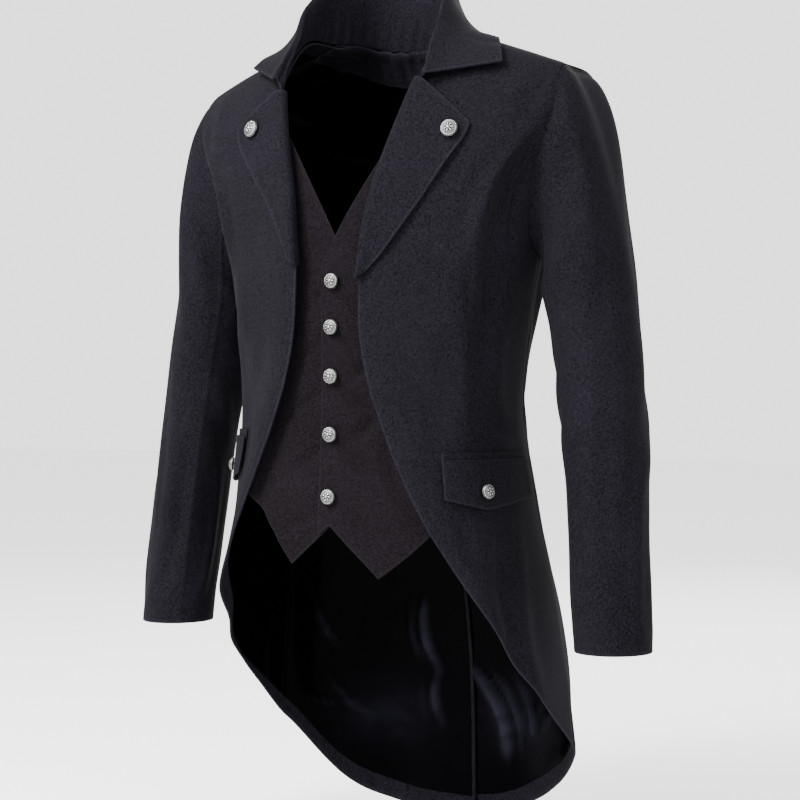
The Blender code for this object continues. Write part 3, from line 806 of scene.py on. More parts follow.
@dataclass(frozen=True)
class Finish:
    """A surface finish whose material is made once."""

    name: str

    def dressed(
        self, effect: bpy.types.NodeTree, values: Feeds, constants: Feeds, bump: tuple[float, float],
        cloth: bool = False, mark: str = "",
    ) -> bpy.types.Material:
        """A Principled material that shows an effect.

        Args:
            effect: The shader group.
            values: The group's numbers and colours.
            constants: Constants of the Principled shader.
            bump: Bump strength, and bump distance in metres.
            cloth: Whether it lies on the piece's own cloth coordinates instead of Object ones.
            mark: The group's input that the attribute of the same name in lower case feeds, or none.

        Returns:
            The material.
        """
        made = bpy.data.materials.new(self.name)
        made.use_nodes = True
        graph = Graph(made.node_tree)
        if cloth:
            place = graph.node("UVMap", {}, uv_map="cloth")["UV"]
        else:
            place = graph.node("TexCoord", {})["Object"]
        marks = {mark: graph.node("Attribute", {}, attribute_name=mark.lower())["Fac"]} if mark else {}
        shown = graph.node("Group", {}, node_tree=effect)
        graph.feed(shown[0].node, {"Vector": place, **values, **marks})
        strength, distance = bump
        raised = graph.node("Bump", {"Strength": strength, "Distance": distance, "Height": shown["Height"]})
        surface = {"Base Color": shown["Color"], "Roughness": shown["Roughness"], "Normal": raised["Normal"]}
        graph.feed(made.node_tree.nodes["Principled BSDF"], {**surface, **constants})
        return made


@dataclass(frozen=True)
class Suiting(Finish):
    """Matt wool-like suiting with a fine flecked twill."""

    dark: Colour = (0.0002, 0.0002, 0.0004)
    light: Colour = (0.0080, 0.0072, 0.0106)
    fleck: float = 0.72
    threads: float = 620.0
    sheen: float = 0.006

    def material(self, group: bpy.types.NodeTree) -> bpy.types.Material:
        """The suiting's material, on Object coordinates so that no part of a panel is stretched.

        Args:
            group: The shader group that it shows.

        Returns:
            The material.
        """
        values = {"Threads": self.threads, "Fleck": self.fleck}
        values |= {"Dark": (*self.dark, 1.0), "Light": (*self.light, 1.0)}
        constants = {"Sheen Weight": self.sheen, "Sheen Roughness": 0.5, "Specular IOR Level": 0.03}
        # The mark gives a painted highlight along the free edges.
        return self.dressed(group, values, constants, (0.35, 0.00022), mark="Pressed")


@dataclass(frozen=True)
class Satin(Finish):
    """Black lining satin, with a painted highlight along its folds."""

    base: Colour = (0.00015, 0.00015, 0.00025)
    # Painted sheen on the small creases
    bright: Colour = (0.0005, 0.0005, 0.0009)
    # Painted highlight along the folds
    fold: Colour = (0.0110, 0.0110, 0.0170)

    def material(self, group: bpy.types.NodeTree) -> bpy.types.Material:
        """The satin's material, on the piece's own cloth coordinates.

        Args:
            group: The shader group that it shows.

        Returns:
            The material.
        """
        values = {"Base": (*self.base, 1.0), "Bright": (*self.bright, 1.0), "Fold": (*self.fold, 1.0)}
        constants = {"Specular IOR Level": 0.007}
        return self.dressed(group, values, constants, (0.5, 0.0012), cloth=True, mark="Pressed")


@dataclass(frozen=True)
class Pewter(Finish):
    """Antique silver-toned button metal."""

    dark: Colour = (0.008, 0.008, 0.009)
    bright: Colour = (0.60, 0.59, 0.58)

    def material(self, group: bpy.types.NodeTree) -> bpy.types.Material:
        """The metal's material, with the relief mark."""
        # Dark and bright follow the relief mark: patina and wear, and painted shade and painted highlight in
        # place of reflections.
        values = {"Dark": (*self.dark, 1.0), "Bright": (*self.bright, 1.0)}
        return self.dressed(group, values, {"Metallic": 1.0}, (0.15, 0.0001), mark="Relief")


@dataclass(frozen=True)
class Thread(Finish):
    """Sewing thread, a shade lighter than the cloth."""

    dark: Colour = (0.0012, 0.0012, 0.0016)
    light: Colour = (0.0100, 0.0098, 0.0125)

    def material(self, group: bpy.types.NodeTree) -> bpy.types.Material:
        """The thread's material: a coarse twist.

        Args:
            group: The shader group that it shows.

        Returns:
            The material.
        """
        values = {"Threads": 1400.0, "Dark": (*self.dark, 1.0), "Light": (*self.light, 1.0), "Fleck": 0.5}
        constants = {"Sheen Weight": 0.02, "Specular IOR Level": 0.05}
        return self.dressed(group, values, constants, (0.3, 0.0001))


@dataclass
class Finishes:
    """Every material of the coat, made once."""

    coat: bpy.types.Material
    waistcoat: bpy.types.Material
    lining: bpy.types.Material
    button: bpy.types.Material
    thread: bpy.types.Material

    @classmethod
    def make(cls) -> "Finishes":
        """Build the shader groups and the materials that use them.

        Returns:
            The finishes.
        """
        weave = weave_group()
        vest = Suiting("waistcoat suiting", (0.0005, 0.0003, 0.0005), (0.0070, 0.0053, 0.0070), 0.70)
        return cls(
            coat=Suiting("coat suiting").material(weave),
            waistcoat=vest.material(weave),
            lining=Satin("lining satin").material(satin_group()),
            button=Pewter("button pewter").material(patina_group()),
            thread=Thread("sewing thread").material(weave),
        )


# Stitching


@dataclass
class Stitching:
    """Rows of top stitching, gathered and joined into one mesh."""

    name: str
    slot: str
    pitch: float = 0.0034
    length: float = 0.0024
    thickness: float = 0.00032
    starts: list[Array] = field(default_factory=list)
    ways: list[Array] = field(default_factory=list)
    normals: list[Array] = field(default_factory=list)

    def row(
        self, grid: Array, which: Edge, distance: float, side: Side, trim: tuple[float, float] = (0.0, 0.0)
    ) -> None:
        """Add a row of stitches inside one edge of a piece.

        Args:
            grid: The piece's outer face.
            which: The edge that the row follows.
            distance: How far inside it.
            side: The wearer's right is mirrored from the left.
            trim: Metres left bare at the start and the end.
        """
        line, normal = line_inside(grid, which, distance)
        run = np.concatenate([[0], np.cumsum(np.linalg.norm(np.diff(line, axis=0), axis=1))])
        at = np.arange(trim[0], run[-1] - trim[1] - self.length, self.pitch)
        if not len(at):
            return
        first = np.stack([np.interp(at, run, line[:, i]) for i in range(3)], -1)
        last = np.stack([np.interp(at + self.length, run, line[:, i]) for i in range(3)], -1)
        out = np.stack([np.interp(at, run, normal[:, i]) for i in range(3)], -1)
        flip = np.array([side.value, 1, 1])
        centre = line.mean(0) * np.array([0, 0, 1])
        if np.einsum("ij,ij->", out, first - centre) < 0:
            out = -out
        self.starts.append(first * flip)
        self.ways.append((last - first) * flip)
        self.normals.append(out * flip)

    def build(self, finish: bpy.types.Material) -> None:
        """Make every stitch as a small six-sided bead, all in one mesh.

        A stitch is a tube of three rings about its line, thickest in the middle, closed at both
        ends, and set half into the cloth.

        Args:
            finish: The material.
        """
        start, way, out = (np.concatenate(x) for x in (self.starts, self.ways, self.normals))
        out /= np.linalg.norm(out, axis=1, keepdims=True)
        across = np.cross(way, out)
        across /= np.linalg.norm(across, axis=1, keepdims=True)
        turn = np.linspace(0, 2 * math.pi, 6, endpoint=False)
        share = np.array([0.0, 0.16, 0.5, 0.84, 1.0])
        girth = np.array([0.12, 0.8, 1.0, 0.8, 0.12])
        sink = np.array([-0.9, 0.15, 0.55, 0.15, -0.9])
        centre = start[:, None] + way[:, None] * share[None, :, None]
        centre = centre + out[:, None] * (sink * self.thickness)[None, :, None]
        ring = across[:, None, None] * np.cos(turn)[:, None] + out[:, None, None] * np.sin(turn)[:, None]
        points = centre[:, :, None] + ring * (girth * self.thickness)[None, :, None, None]
        count = len(start)
        index = np.arange(count * 30).reshape(count, 5, 6)
        after = np.roll(index, -1, axis=2)
        side = np.stack([index[:, :-1], after[:, :-1], after[:, 1:], index[:, 1:]], -1).reshape(-1, 4)
        caps = []
        for ring_number, order in ((0, 1), (4, -1)):
            hexagon = index[:, ring_number]
            caps.append(hexagon[:, [0, 1, 2, 3]][:, ::-order])
            caps.append(hexagon[:, [0, 3, 4, 5]][:, ::-order])
        faces = np.concatenate([side, *caps])
        a, b, c = (points.reshape(-1, 3)[side[:, i]] for i in range(3))
        middle = np.repeat(centre.mean(1), 24, axis=0)
        if np.einsum("ij,ij->", np.cross(b - a, c - a), a - middle) < 0:
            faces = faces[:, ::-1]
        made = mesh_object(self.name, points.reshape(-1, 3), faces, finish)
        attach(made, "root")
        LOG.info("%s: %d stitches", self.name, count)


# Sub-assemblies


@dataclass
class Assembly:
    """Pieces that are laid over the worn form and stitched, one set on each side."""

    form: WornForm
    finishes: Finishes
    stitching: Stitching

    def build_side(self, side: Side) -> None:
        """The pieces of one side."""
        raise NotImplementedError

    def build(self) -> None:
        """The pieces of both sides."""
        for side in Side:
            self.build_side(side)


@dataclass
class Panels(Assembly):
    """Fronts and backs, their linings, and the facing inside the back neck."""

    lower_rows: int = 84
    upper_rows: int = 56
    front_columns: int = 72
    back_columns: int = 72
    crowd: float = 1.25
    lining_start: float = 0.134
    hem_row: int = 3
    # Metres round the form to a radian
    per_radian: float = 0.16
    satin_rounding: float = 0.0003
    satin_held: float = 0.010
    # Lower edge of the back neck facing: angle, height
    facing_edge: Array = rows_of(
        (159.5, -0.016), (163.0, -0.022), (168.0, -0.034), (174.0, -0.042), (180.0, -0.0455),
    )
    vent_top: float = -0.43
    vent_lap: float = 0.10
    # Distance round the form and height at both ends, width, depth
    front_creases: Array = rows_of(
        (0.176, -0.116, 0.182, -0.31, 0.0105, -0.008), (0.187, -0.122, 0.198, -0.24, 0.005, -0.005),
        (0.15, -0.13, 0.158, -0.27, 0.011, 0.0028), (0.16, -0.15, 0.172, -0.36, 0.009, -0.0022),
        (0.196, -0.23, 0.19, -0.44, 0.012, -0.0034), (0.11, -0.385, 0.112, -0.452, 0.004, -0.001),
        (0.212, -0.29, 0.236, -0.43, 0.012, 0.0022), (0.116, -0.262, 0.16, -0.352, 0.015, 0.002),
        (0.075, -0.3, 0.13, -0.41, 0.016, -0.0018), (0.15, -0.52, 0.186, -0.65, 0.014, 0.0024),
        (0.196, -0.51, 0.214, -0.7, 0.012, -0.0034), (0.236, -0.52, 0.244, -0.74, 0.013, 0.0026),
        (0.14, -0.5, 0.17, -0.585, 0.01, -0.0018), (0.09, -0.06, 0.13, -0.105, 0.013, -0.0018),
        (0.136, -0.055, 0.15, -0.13, 0.011, -0.002), (0.19, -0.4, 0.25, -0.425, 0.009, -0.0022),
    )
    back_creases: Array = rows_of(
        (0.302, -0.12, 0.35, -0.25, 0.012, -0.0036), (0.275, -0.18, 0.304, -0.33, 0.011, -0.0028),
        (0.33, -0.2, 0.318, -0.33, 0.013, 0.0022), (0.27, -0.35, 0.34, -0.43, 0.011, 0.0024),
        (0.3, -0.385, 0.41, -0.405, 0.01, -0.0024), (0.31, -0.41, 0.44, -0.436, 0.009, -0.0018),
        (0.33, -0.06, 0.44, -0.075, 0.012, -0.0022), (0.292, -0.47, 0.29, -0.73, 0.015, 0.0034),
        (0.34, -0.48, 0.338, -0.78, 0.014, -0.004), (0.388, -0.5, 0.392, -0.83, 0.015, 0.0032),
        (0.43, -0.52, 0.436, -0.82, 0.013, -0.0028),
    )
    # The same for the satin, which only bags inwards
    lining_creases: Array = rows_of(
        (0.492, -0.69, 0.455, -0.8, 0.0075, 0.0085), (0.452, -0.69, 0.428, -0.78, 0.006, 0.0034),
        (0.36, -0.7, 0.44, -0.765, 0.0055, 0.0028), (0.33, -0.73, 0.405, -0.745, 0.005, 0.0022),
        (0.35, -0.62, 0.395, -0.69, 0.007, 0.0026), (0.3, -0.6, 0.29, -0.74, 0.008, 0.003),
        (0.32, -0.06, 0.4, -0.11, 0.007, 0.003), (0.371, -0.03, 0.427, -0.086, 0.0045, 0.0046),
        (0.4, -0.095, 0.47, -0.125, 0.006, 0.0034), (0.29, -0.15, 0.35, -0.26, 0.008, 0.0028),
        (0.38, -0.16, 0.47, -0.21, 0.009, 0.0024), (0.3, -0.33, 0.42, -0.38, 0.009, 0.0026),
        (0.2, -0.3, 0.23, -0.42, 0.008, 0.0022),
    )
    # The right satin's own folds, in place of the first two
    lining_creases_right: Array = rows_of(
        (0.478, -0.615, 0.491, -0.705, 0.006, 0.0064), (0.486, -0.7, 0.494, -0.77, 0.006, 0.005),
    )

    def joined(self, low: Array, high: Array, side: Side) -> Array:
        """Two edge tables end to end, below and above the armhole.

        Args:
            low: The lower edge table.
            high: The table that goes on from it.
            side: The wearer's left or right.

        Returns:
            Angle and section pairs, the lowest first.
        """
        below = self.form.seam(low, self.lower_rows + 1, side)
        above = self.form.seam(high, self.upper_rows + 1, side)
        return np.concatenate([below, above[1:]])

    @staticmethod
    def patch(left: Array, right: Array, bottom: Array, top: Array, u: Array) -> Array:
        """Grid of angle and section pairs between four edges, by the rule of Coons.

        Args:
            left: First column, bottom row first.
            right: Last column.
            bottom: First row.
            top: Last row.
            u: Shares across, 0 on the left.

        Returns:
            Rows by columns by 2.
        """
        v = np.linspace(0, 1, len(left))[:, None, None]
        u = u[None, :, None]
        ruled = left[:, None] * (1 - u) + right[:, None] * u
        risen = bottom[None] * (1 - v) + top[None] * v
        corners = bottom[0] * (1 - u) * (1 - v) + bottom[-1] * u * (1 - v)
        corners = corners + top[0] * (1 - u) * v + top[-1] * u * v
        return ruled + risen - corners

    def front_grid(self, side: Side) -> Array:
        """Angle and section grid of one front panel.

        Args:
            side: The wearer's left or right.

        Returns:
            Pairs, rows by columns by 2, the hem's row first.
        """
        left = self.joined(CUTAWAY, ROLL_LINE, side)
        right = self.joined(SIDE_SEAM, ARMHOLE_FRONT, side)
        u = crowded(self.front_columns, 0.72) ** self.crowd
        bottom = left[0] * (1 - u[:, None]) + right[0] * u[:, None]
        top = left[-1] * (1 - u[:, None]) + right[-1] * u[:, None]
        grid = self.patch(left, right, bottom, top, u)
        grid[..., 1] = np.maximum(grid[..., 1], self.form.seam_level)
        return grid

    def back_grid(self, side: Side) -> Array:
        """Angle and section grid of one back panel.

        Args:
            side: The wearer's left or right.

        Returns:
            Pairs, rows by columns by 2, the hem's row first.
        """
        left = self.joined(SIDE_SEAM, ARMHOLE_BACK, side)
        u = crowded(self.back_columns, 0.6)
        bottom = self.form.seam(BACK_HEM, len(u), side, u)
        top = self.form.seam(BACK_NECK, len(u), side, u)
        rows = self.upper_rows // 8
        lower = self.form.seam(SPINE_LOW, self.lower_rows + 1, side)
        upper = self.form.seam(SPINE_HIGH, self.upper_rows - rows + 1, side)
        last = upper[-1] + (top[-1] - upper[-1]) * np.linspace(0, 1, rows + 1)[1:, None]
        right = np.concatenate([lower, upper[1:], last])
        grid = self.patch(left, right, bottom, top, u)
        grid[:, -1, 0] = math.pi
        grid[..., 1] = np.maximum(grid[..., 1], self.form.seam_level)
        return grid

    def surface_offset(self, grid: Array, table: Array, seams: tuple[Edge, ...]) -> Array:
        """Creases, unevenness and the dip into each seam, before any layer's own depth.

        Args:
            grid: Angle and section pairs, rows by columns by 2.
            table: Creases, as creases takes them.
            seams: Edges that are sewn.

        Returns:
            Offsets in metres, rows by columns.
        """
        points = self.form.point(grid[..., 0], grid[..., 1])
        s = grid[..., 0] * self.per_radian
        distance = edge_distances(points)
        free = np.minimum.reduce([np.clip(distance[which] / 0.028, 0, 1) for which in seams])
        offset = creases(s, points[..., 2], table) * free * (2 - free) + unevenness(s, points[..., 2], 0.0005)
        for which in seams:
            offset = offset - 0.0007 * np.exp(-((distance[which] / 0.0028) ** 2))
        return offset

    def build_front(self, side: Side) -> None:
        """One front panel and its lining.

        Args:
            side: The wearer's left or right.
        """
        form, word = self.form, side.word
        grid = self.front_grid(side)
        offset = self.surface_offset(grid, self.front_creases, (Edge.LAST_COLUMN, Edge.LAST_ROW))
        outer, inner = form.faces(grid, offset, CLOTH)
        free = (Edge.FIRST_COLUMN, Edge.FIRST_ROW)
        piece = wall(
            f"front_panel_{word}", outer, inner, self.finishes.coat, side, free, cloth=self.flat(grid, outer)
        )
        hang(piece, outer, "coat", Held.HUNG, [f"back_{word}", "collar"], f"front_{word}")
        self.stitching.row(outer[: self.lower_rows + 1], Edge.FIRST_COLUMN, 0.006, side, (0.004, 0.0))
        self.stitching.row(outer, Edge.FIRST_ROW, 0.006, side, (0.004, 0.0))
        u = crowded(self.front_columns, 0.72) ** self.crowd
        first = int(np.searchsorted(u, self.lining_start))
        inside = grid[self.hem_row :, first:]
        part = offset[self.hem_row :, first:]
        outer, inner = form.faces(inside, part - CLOTH - SEAM - self.bag(inside, self.lining_creases), LINING)
        piece = wall(
            f"satin_front_{word}", outer, inner, self.finishes.lining, side,
            rounding=self.satin_rounding, cloth=self.flat(inside, outer),
        )
        hang(piece, outer, "lining", Held.HUNG, [f"front_{word}"], f"lining_front_{word}")

    def bag(self, grid: Array, table: Array) -> Array:
        """How far the satin bags inwards along its folds: nothing where it is sewn at its edges.

        Args:
            grid: Angle and section pairs, rows by columns by 2.
            table: Folds, as creases takes them.

        Returns:
            Depths in metres, rows by columns.
        """
        points = self.form.point(grid[..., 0], grid[..., 1])
        least = np.minimum.reduce(list(edge_distances(points).values()))
        free = np.clip(least / self.satin_held, 0, 1) ** 1.5
        return np.abs(creases(grid[..., 0] * self.per_radian, points[..., 2], table)) * free

    def flat(self, grid: Array, face: Array) -> Array:
        """Cloth coordinates in metres of a laid grid: round the form, and height."""
        return np.stack([grid[..., 0] * self.per_radian, face[..., 2]], -1)

    def build_back(self, side: Side) -> None:
        """One back panel and its lining, with the left tail lapped over the right.

        Args:
            side: The wearer's left or right.
        """
        form, word = self.form, side.word
        grid = self.back_grid(side)
        height = form.point(grid[:, -1, 0], grid[:, -1, 1])[:, 2]
        parted = np.clip((self.vent_top - height) / 0.045, 0, 1)
        lapped = np.clip((self.vent_top + 0.045 - height) / 0.03, 0, 1)
        near = np.clip(1 - (math.pi - grid[..., 0]) / 0.30, 0, 1)
        shell = grid.copy()
        shell[..., 0] += self.vent_lap * parted[:, None] * near**2
        lap = side.value * 0.0022 * lapped[:, None] * np.clip(near * 1.6, 0, 1)
        offset = self.surface_offset(grid, self.back_creases, (Edge.FIRST_COLUMN, Edge.LAST_ROW)) + lap
        seam_dip = 0.0007 * np.exp(-(((math.pi - grid[..., 0]) * 0.13 / 0.0028) ** 2)) * (1 - parted[:, None])
        offset = offset - seam_dip
        outer, inner = form.faces(shell, offset, CLOTH)
        free = (Edge.FIRST_ROW,)
        piece = wall(
            f"back_panel_{word}", outer, inner, self.finishes.coat, side, free, cloth=self.flat(shell, outer)
        )
        hang(piece, outer, "coat", Held.HUNG, [f"front_{word}", "collar"], f"back_{word}")
        self.stitching.row(outer, Edge.FIRST_ROW, 0.008, side)
        rows = slice(self.hem_row, -3)
        satin = grid.copy()
        if side is Side.LEFT:
            # Laps the other satin a little at the centre seam, and stops short of the vent's edge
            satin[..., 0] += (0.004 - 0.011 * lapped[:, None]) * near**2
        else:
            satin[..., 0] += (self.vent_lap - 0.02) * parted[:, None] * near**2
        satin, part = satin[rows], offset[rows]
        table = self.lining_creases
        if side is Side.RIGHT:
            table = np.concatenate([self.lining_creases_right, table[2:]])
        bag = self.bag(satin, table)
        outer, inner = form.faces(satin, part - CLOTH - SEAM - bag, LINING)
        # Painted highlight: a broad pale patch low on the tail, and the tops of the folds
        round_form = satin[..., 0] * self.per_radian
        height = form.point(satin[..., 0], satin[..., 1])[..., 2]
        sheen = np.exp(-(((round_form - 0.44) / 0.045) ** 2) - ((height + 0.755) / 0.032) ** 2)
        ridge = np.clip((bag - 0.0012) / 0.0050, 0, 1) + 0.22 * sheen
        piece = wall(
            f"satin_back_{word}", outer, inner, self.finishes.lining, side,
            rounding=self.satin_rounding, cloth=self.flat(satin, outer), ridge=ridge,
        )
        hang(piece, outer, "lining", Held.HUNG, [f"back_{word}"], f"lining_back_{word}")

    def build_facing(self) -> None:
        """The back neck facing, one piece across the nape."""
        line = self.form.seam(BACK_NECK, 600, Side.LEFT)
        line = line[line[:, 0] >= math.radians(self.facing_edge[0, 0] - 0.6)]
        neck = line[np.linspace(0, len(line) - 1, 150).astype(int)]
        neck[:, 1] = np.maximum(neck[:, 1], self.form.seam_level)
        neck[-1, 0] = math.pi
        curve = through(self.facing_edge, np.linspace(0, len(self.facing_edge) - 1, 150))
        angle = np.radians(curve[:, 0])
        hem = np.stack([angle, np.maximum(self.form.level_at(angle, curve[:, 1]), 0.02)], -1)
        share = np.linspace(0, 1, 20)[:, None, None]
        half = hem[None] * (1 - share) + neck[None] * share
        other = half[:, -2::-1].copy()
        other[..., 0] = 2 * math.pi - other[..., 0]
        grid = np.concatenate([half, other], 1)
        across = (grid[..., 0] - math.pi) * 0.14
        ripple = np.sin(across / 0.0012 + 1.4 * np.sin(across / 0.009))
        ripple = ripple + 0.6 * np.sin(across / 0.0034 + 5 * share[..., 0])
        gather = 0.0014 * (1 + 0.8 * ripple) * np.clip(1.25 - share[..., 0] * 0.4, 0, 1)
        depth = -CLOTH - LINING - 2 * SEAM - np.clip(gather, 0, None)
        outer, inner = self.form.faces(grid, depth, CLOTH)
        # The top edge stands up over the collar seam
        middle = np.clip(np.minimum(np.arange(grid.shape[1]), np.arange(grid.shape[1])[::-1]) / 60, 0, 1)
        lift = 0.0042 * np.clip((share[..., 0] - 0.86) / 0.14, 0, 1) ** 1.5 * middle
        outer[..., 2] += lift
        inner[..., 2] += lift
        piece = wall("neck_facing", outer, inner, self.finishes.coat, free=(Edge.FIRST_ROW, Edge.LAST_ROW))
        hang(piece, outer, "coat", Held.LAID, ["back_left", "back_right"], "back_facing")

    def build(self) -> None:
        """All panels."""
        for side in Side:
            self.build_front(side)
            self.build_back(side)
        self.build_facing()


@dataclass
class Waistcoat(Assembly):
    """The false waistcoat front: two pointed panels, the left lapping the right."""

    rows: int = 110
    per_radian: float = 0.125
    # Column share, lower angle, lower height
    hem_left: Array = rows_of(
        (0.0, -4.0, -0.53), (0.1, 0.0, -0.519), (0.4, 16.1, -0.571), (0.8, 34.8, -0.53),
        (1.0, 44.0, -0.508),
    )
    hem_right: Array = rows_of(
        (0.0, -4.0, -0.53), (0.1, 0.0, -0.519), (0.4, 13.4, -0.56), (0.8, 28.0, -0.507),
        (1.0, 37.0, -0.488),
    )
    neck: Array = rows_of(
        (0.0, -4.0, -0.254), (0.1, 0.0, -0.2265), (0.4, 6.4, -0.182), (0.8, 14.6, -0.121),
        (1.0, 22.0, -0.078),
    )
    # Distance across and height at both ends, width, depth
    pulls: Array = rows_of(
        (0.002, -0.318, 0.036, -0.352, 0.005, -0.0044), (0.002, -0.368, 0.048, -0.41, 0.0055, -0.0054),
        (0.002, -0.427, 0.052, -0.474, 0.006, -0.0052), (0.004, -0.44, 0.044, -0.392, 0.005, -0.0036),
        (0.006, -0.378, 0.036, -0.338, 0.0045, -0.003), (0.01, -0.47, 0.07, -0.52, 0.0075, 0.0024),
        (0.002, -0.271, 0.03, -0.302, 0.0045, -0.0032), (0.045, -0.43, 0.07, -0.505, 0.0065, -0.0036),
        (0.002, -0.49, 0.048, -0.532, 0.0055, -0.0032), (0.02, -0.3, 0.04, -0.262, 0.006, -0.0014),
    )

    def columns(self) -> Array:
        """Column shares, close together at the free edge and at the hem's corners.

        Returns:
            Shares from 0 to 1.
        """
        knots = np.array([0.0, 0.10, 0.40, 0.80, 1.0])
        spans = [a + (b - a) * crowded(n, 0.45)[:-1] for a, b, n in zip(knots, knots[1:], (14, 22, 24, 10))]
        return np.concatenate([*spans, [1.0]])

    def grid(self, side: Side) -> Array:
        """Angle and section grid of one waistcoat front, hem row first.

        Args:
            side: The wearer's left or right.

        Returns:
            Pairs, rows by columns by 2.
        """
        hem = self.hem_left if side is Side.LEFT else self.hem_right
        u = self.columns()
        low, high = (
            np.stack([np.radians(np.interp(u, knots, angles)), np.interp(u, knots, heights)], -1)
            for knots, angles, heights in (hem.T, self.neck.T)
        )
        v = crowded(self.rows, 0.6)[:, None, None]
        plain = low[None] * (1 - v) + high[None] * v
        column = 1 if side is Side.LEFT else 2
        front = np.radians(np.interp(plain[..., 1], CUTAWAY[:, column], CUTAWAY[:, 0]))
        wanted = np.clip(front + np.radians(8.5), None, np.radians(60))
        share = np.clip((u - 0.1) / 0.9, 0, 1)[None, :]
        bow = np.sin(math.pi * v[..., 0]) ** 0.8
        plain[..., 0] += 0.75 * bow * share * (wanted[:, -1:] - plain[:, -1:, 0])
        return np.stack([plain[..., 0], self.form.level_at(plain[..., 0], plain[..., 1])], -1)

    def depth(self, grid: Array, side: Side) -> Array:
        """Offset of the outer face: under the worn form, tucked against the coat at its side.

        Args:
            grid: Angle and section pairs, rows by columns by 2.
            side: The wearer's left or right.

        Returns:
            Offsets in metres, rows by columns.
        """
        phi, level = grid[..., 0], grid[..., 1]
        middle = np.exp(-((np.degrees(phi) / 9.0) ** 4))
        depth = -0.0062 + 0.0018 * side.value * middle
        share = self.columns()
        seam = self.form.stand_off(phi, level) - CLOTH - LINING - 2 * SEAM - 0.0003
        tuck = np.clip((share - 0.85) / 0.15, 0, 1)
        under = np.minimum(depth, seam)
        depth = depth * (1 - tuck) + seam * tuck
        return np.where(share > 0.55, np.minimum(depth, under + (seam - under) * tuck), depth)

    def build_side(self, side: Side) -> None:
        """One waistcoat front with its creases and stitching.

        Args:
            side: The wearer's left or right.
        """
        grid = self.grid(side)
        depth = self.depth(grid, side)
        body = self.form.point(grid[..., 0], grid[..., 1])
        across = grid[..., 0] * self.per_radian
        relief = creases(across, body[..., 2], self.pulls) + unevenness(across, body[..., 2], 0.0005)
        free = np.clip(np.exp(-((self.columns() - 0.45) / 0.33) ** 4), 0, 1)
        if side is Side.RIGHT:
            relief = np.minimum(relief, 0.0004)
        depth = depth + relief * free * (0.6 if side is Side.RIGHT else 1.0)
        normal = self.form.normal(grid[..., 0], grid[..., 1])
        outer = body + normal * depth[..., None]
        inner = body + normal * (depth - CLOTH)[..., None]
        free_edges = (Edge.FIRST_COLUMN, Edge.FIRST_ROW, Edge.LAST_ROW)
        piece = wall(f"waistcoat_front_{side.word}", outer, inner, self.finishes.waistcoat, side, free_edges)
        hang(piece, outer, "waistcoat", Held.HUNG, [f"front_{side.word}"], f"waistcoat_{side.word}")
        self.stitching.row(outer, Edge.FIRST_ROW, 0.006, side, (0.010, 0.0))
        self.stitching.row(outer, Edge.LAST_ROW, 0.006, side, (0.010, 0.0))
        if side is Side.LEFT:
            self.stitching.row(outer, Edge.FIRST_COLUMN, 0.0035, side, (0.004, 0.004))


@dataclass
class Lapels(Assembly):
    """Both lapels, each turned out round the roll line."""

    rows: int = 96
    columns: int = 72
    # Outer edge from the tip to the break: angle, height
    edge_left: Array = rows_of(
        (34.0, -0.117), (33.8, -0.134), (29.9, -0.168), (24.8, -0.203), (18.4, -0.24), (13.0, -0.264),
    )
    edge_right: Array = rows_of(
        (31.6, -0.104), (31.2, -0.124), (27.4, -0.15), (20.8, -0.19), (15.4, -0.228), (12.9, -0.2495),
    )
    # Distance in from the roll line, offset of the face
    wrap: Array = rows_of(
        (0.009, -0.0052), (0.0, -0.0054), (-0.005, -0.0026), (-0.006, 0.002), (-0.0036, 0.006),
        (0.003, 0.0074),
    )

    def controls(self, side: Side) -> Array:
        """Control grid of angle, section number and offset, from the wrap to the outer edge.

        Args:
            side: The wearer's left or right.

        Returns:
            Control values, rows by columns by 3.
        """
        count = 24
        roll = self.form.seam(ROLL_LINE[:4], count, side)[::-1]
        outer = self.form.seam(self.edge_left if side is Side.LEFT else self.edge_right, count, Side.LEFT)
        roll[0] = roll[0] * 0.97 + roll[1] * 0.03
        point = self.form.point(roll[:, 0], roll[:, 1])
        reach = np.abs(point[:, 0] / np.maximum(np.sin(roll[:, 0]), 0.05) * np.cos(roll[:, 0]))
        breadth = np.linalg.norm(self.form.point(outer[:, 0], outer[:, 1]) - point, axis=1)
        narrow = np.clip(breadth / 0.030, 0.5, 1.0)
        columns = [
            np.stack([roll[:, 0] + inward * narrow / reach, roll[:, 1], np.full(count, offset)], -1)
            for inward, offset in self.wrap
        ]
        start = columns[-1][:, :2]
        for share in np.linspace(0.16, 1.0, 6):
            flat = start * (1 - share) + outer * share
            offset = 0.0046 + 0.0028 * (1 - share) ** 2
            columns.append(np.concatenate([flat, np.full((count, 1), offset)], 1))
        return np.stack(columns, 1)

    def build_side(self, side: Side) -> None:
        """One lapel.

        Args:
            side: The wearer's left or right.
        """
        fine = refined(self.controls(side), self.rows, self.columns)
        height = self.form.point(fine[..., 0], fine[..., 1])[..., 2]
        share = np.linspace(0, 1, self.columns)[None, :]
        soft = 0.0009 * np.sin(9 * height / 0.1 + 3 * share) * share**2
        points = self.form.laid(fine[..., 0], fine[..., 1], fine[..., 2] + soft)
        normal = grid_normals(points)
        inner = points - normal * CLOTH
        free = (Edge.LAST_COLUMN, Edge.FIRST_ROW)
        piece = wall(f"lapel_turned_{side.word}", points, inner, self.finishes.coat, side, free)
        hang(piece, points, "coat", Held.FOLDED, [f"front_{side.word}"], f"lapel_{side.word}")
        self.stitching.row(points, Edge.LAST_COLUMN, 0.005, side, (0.004, 0.006))
        self.stitching.row(points[:, 36:], Edge.FIRST_ROW, 0.005, side, (0.0, 0.004))


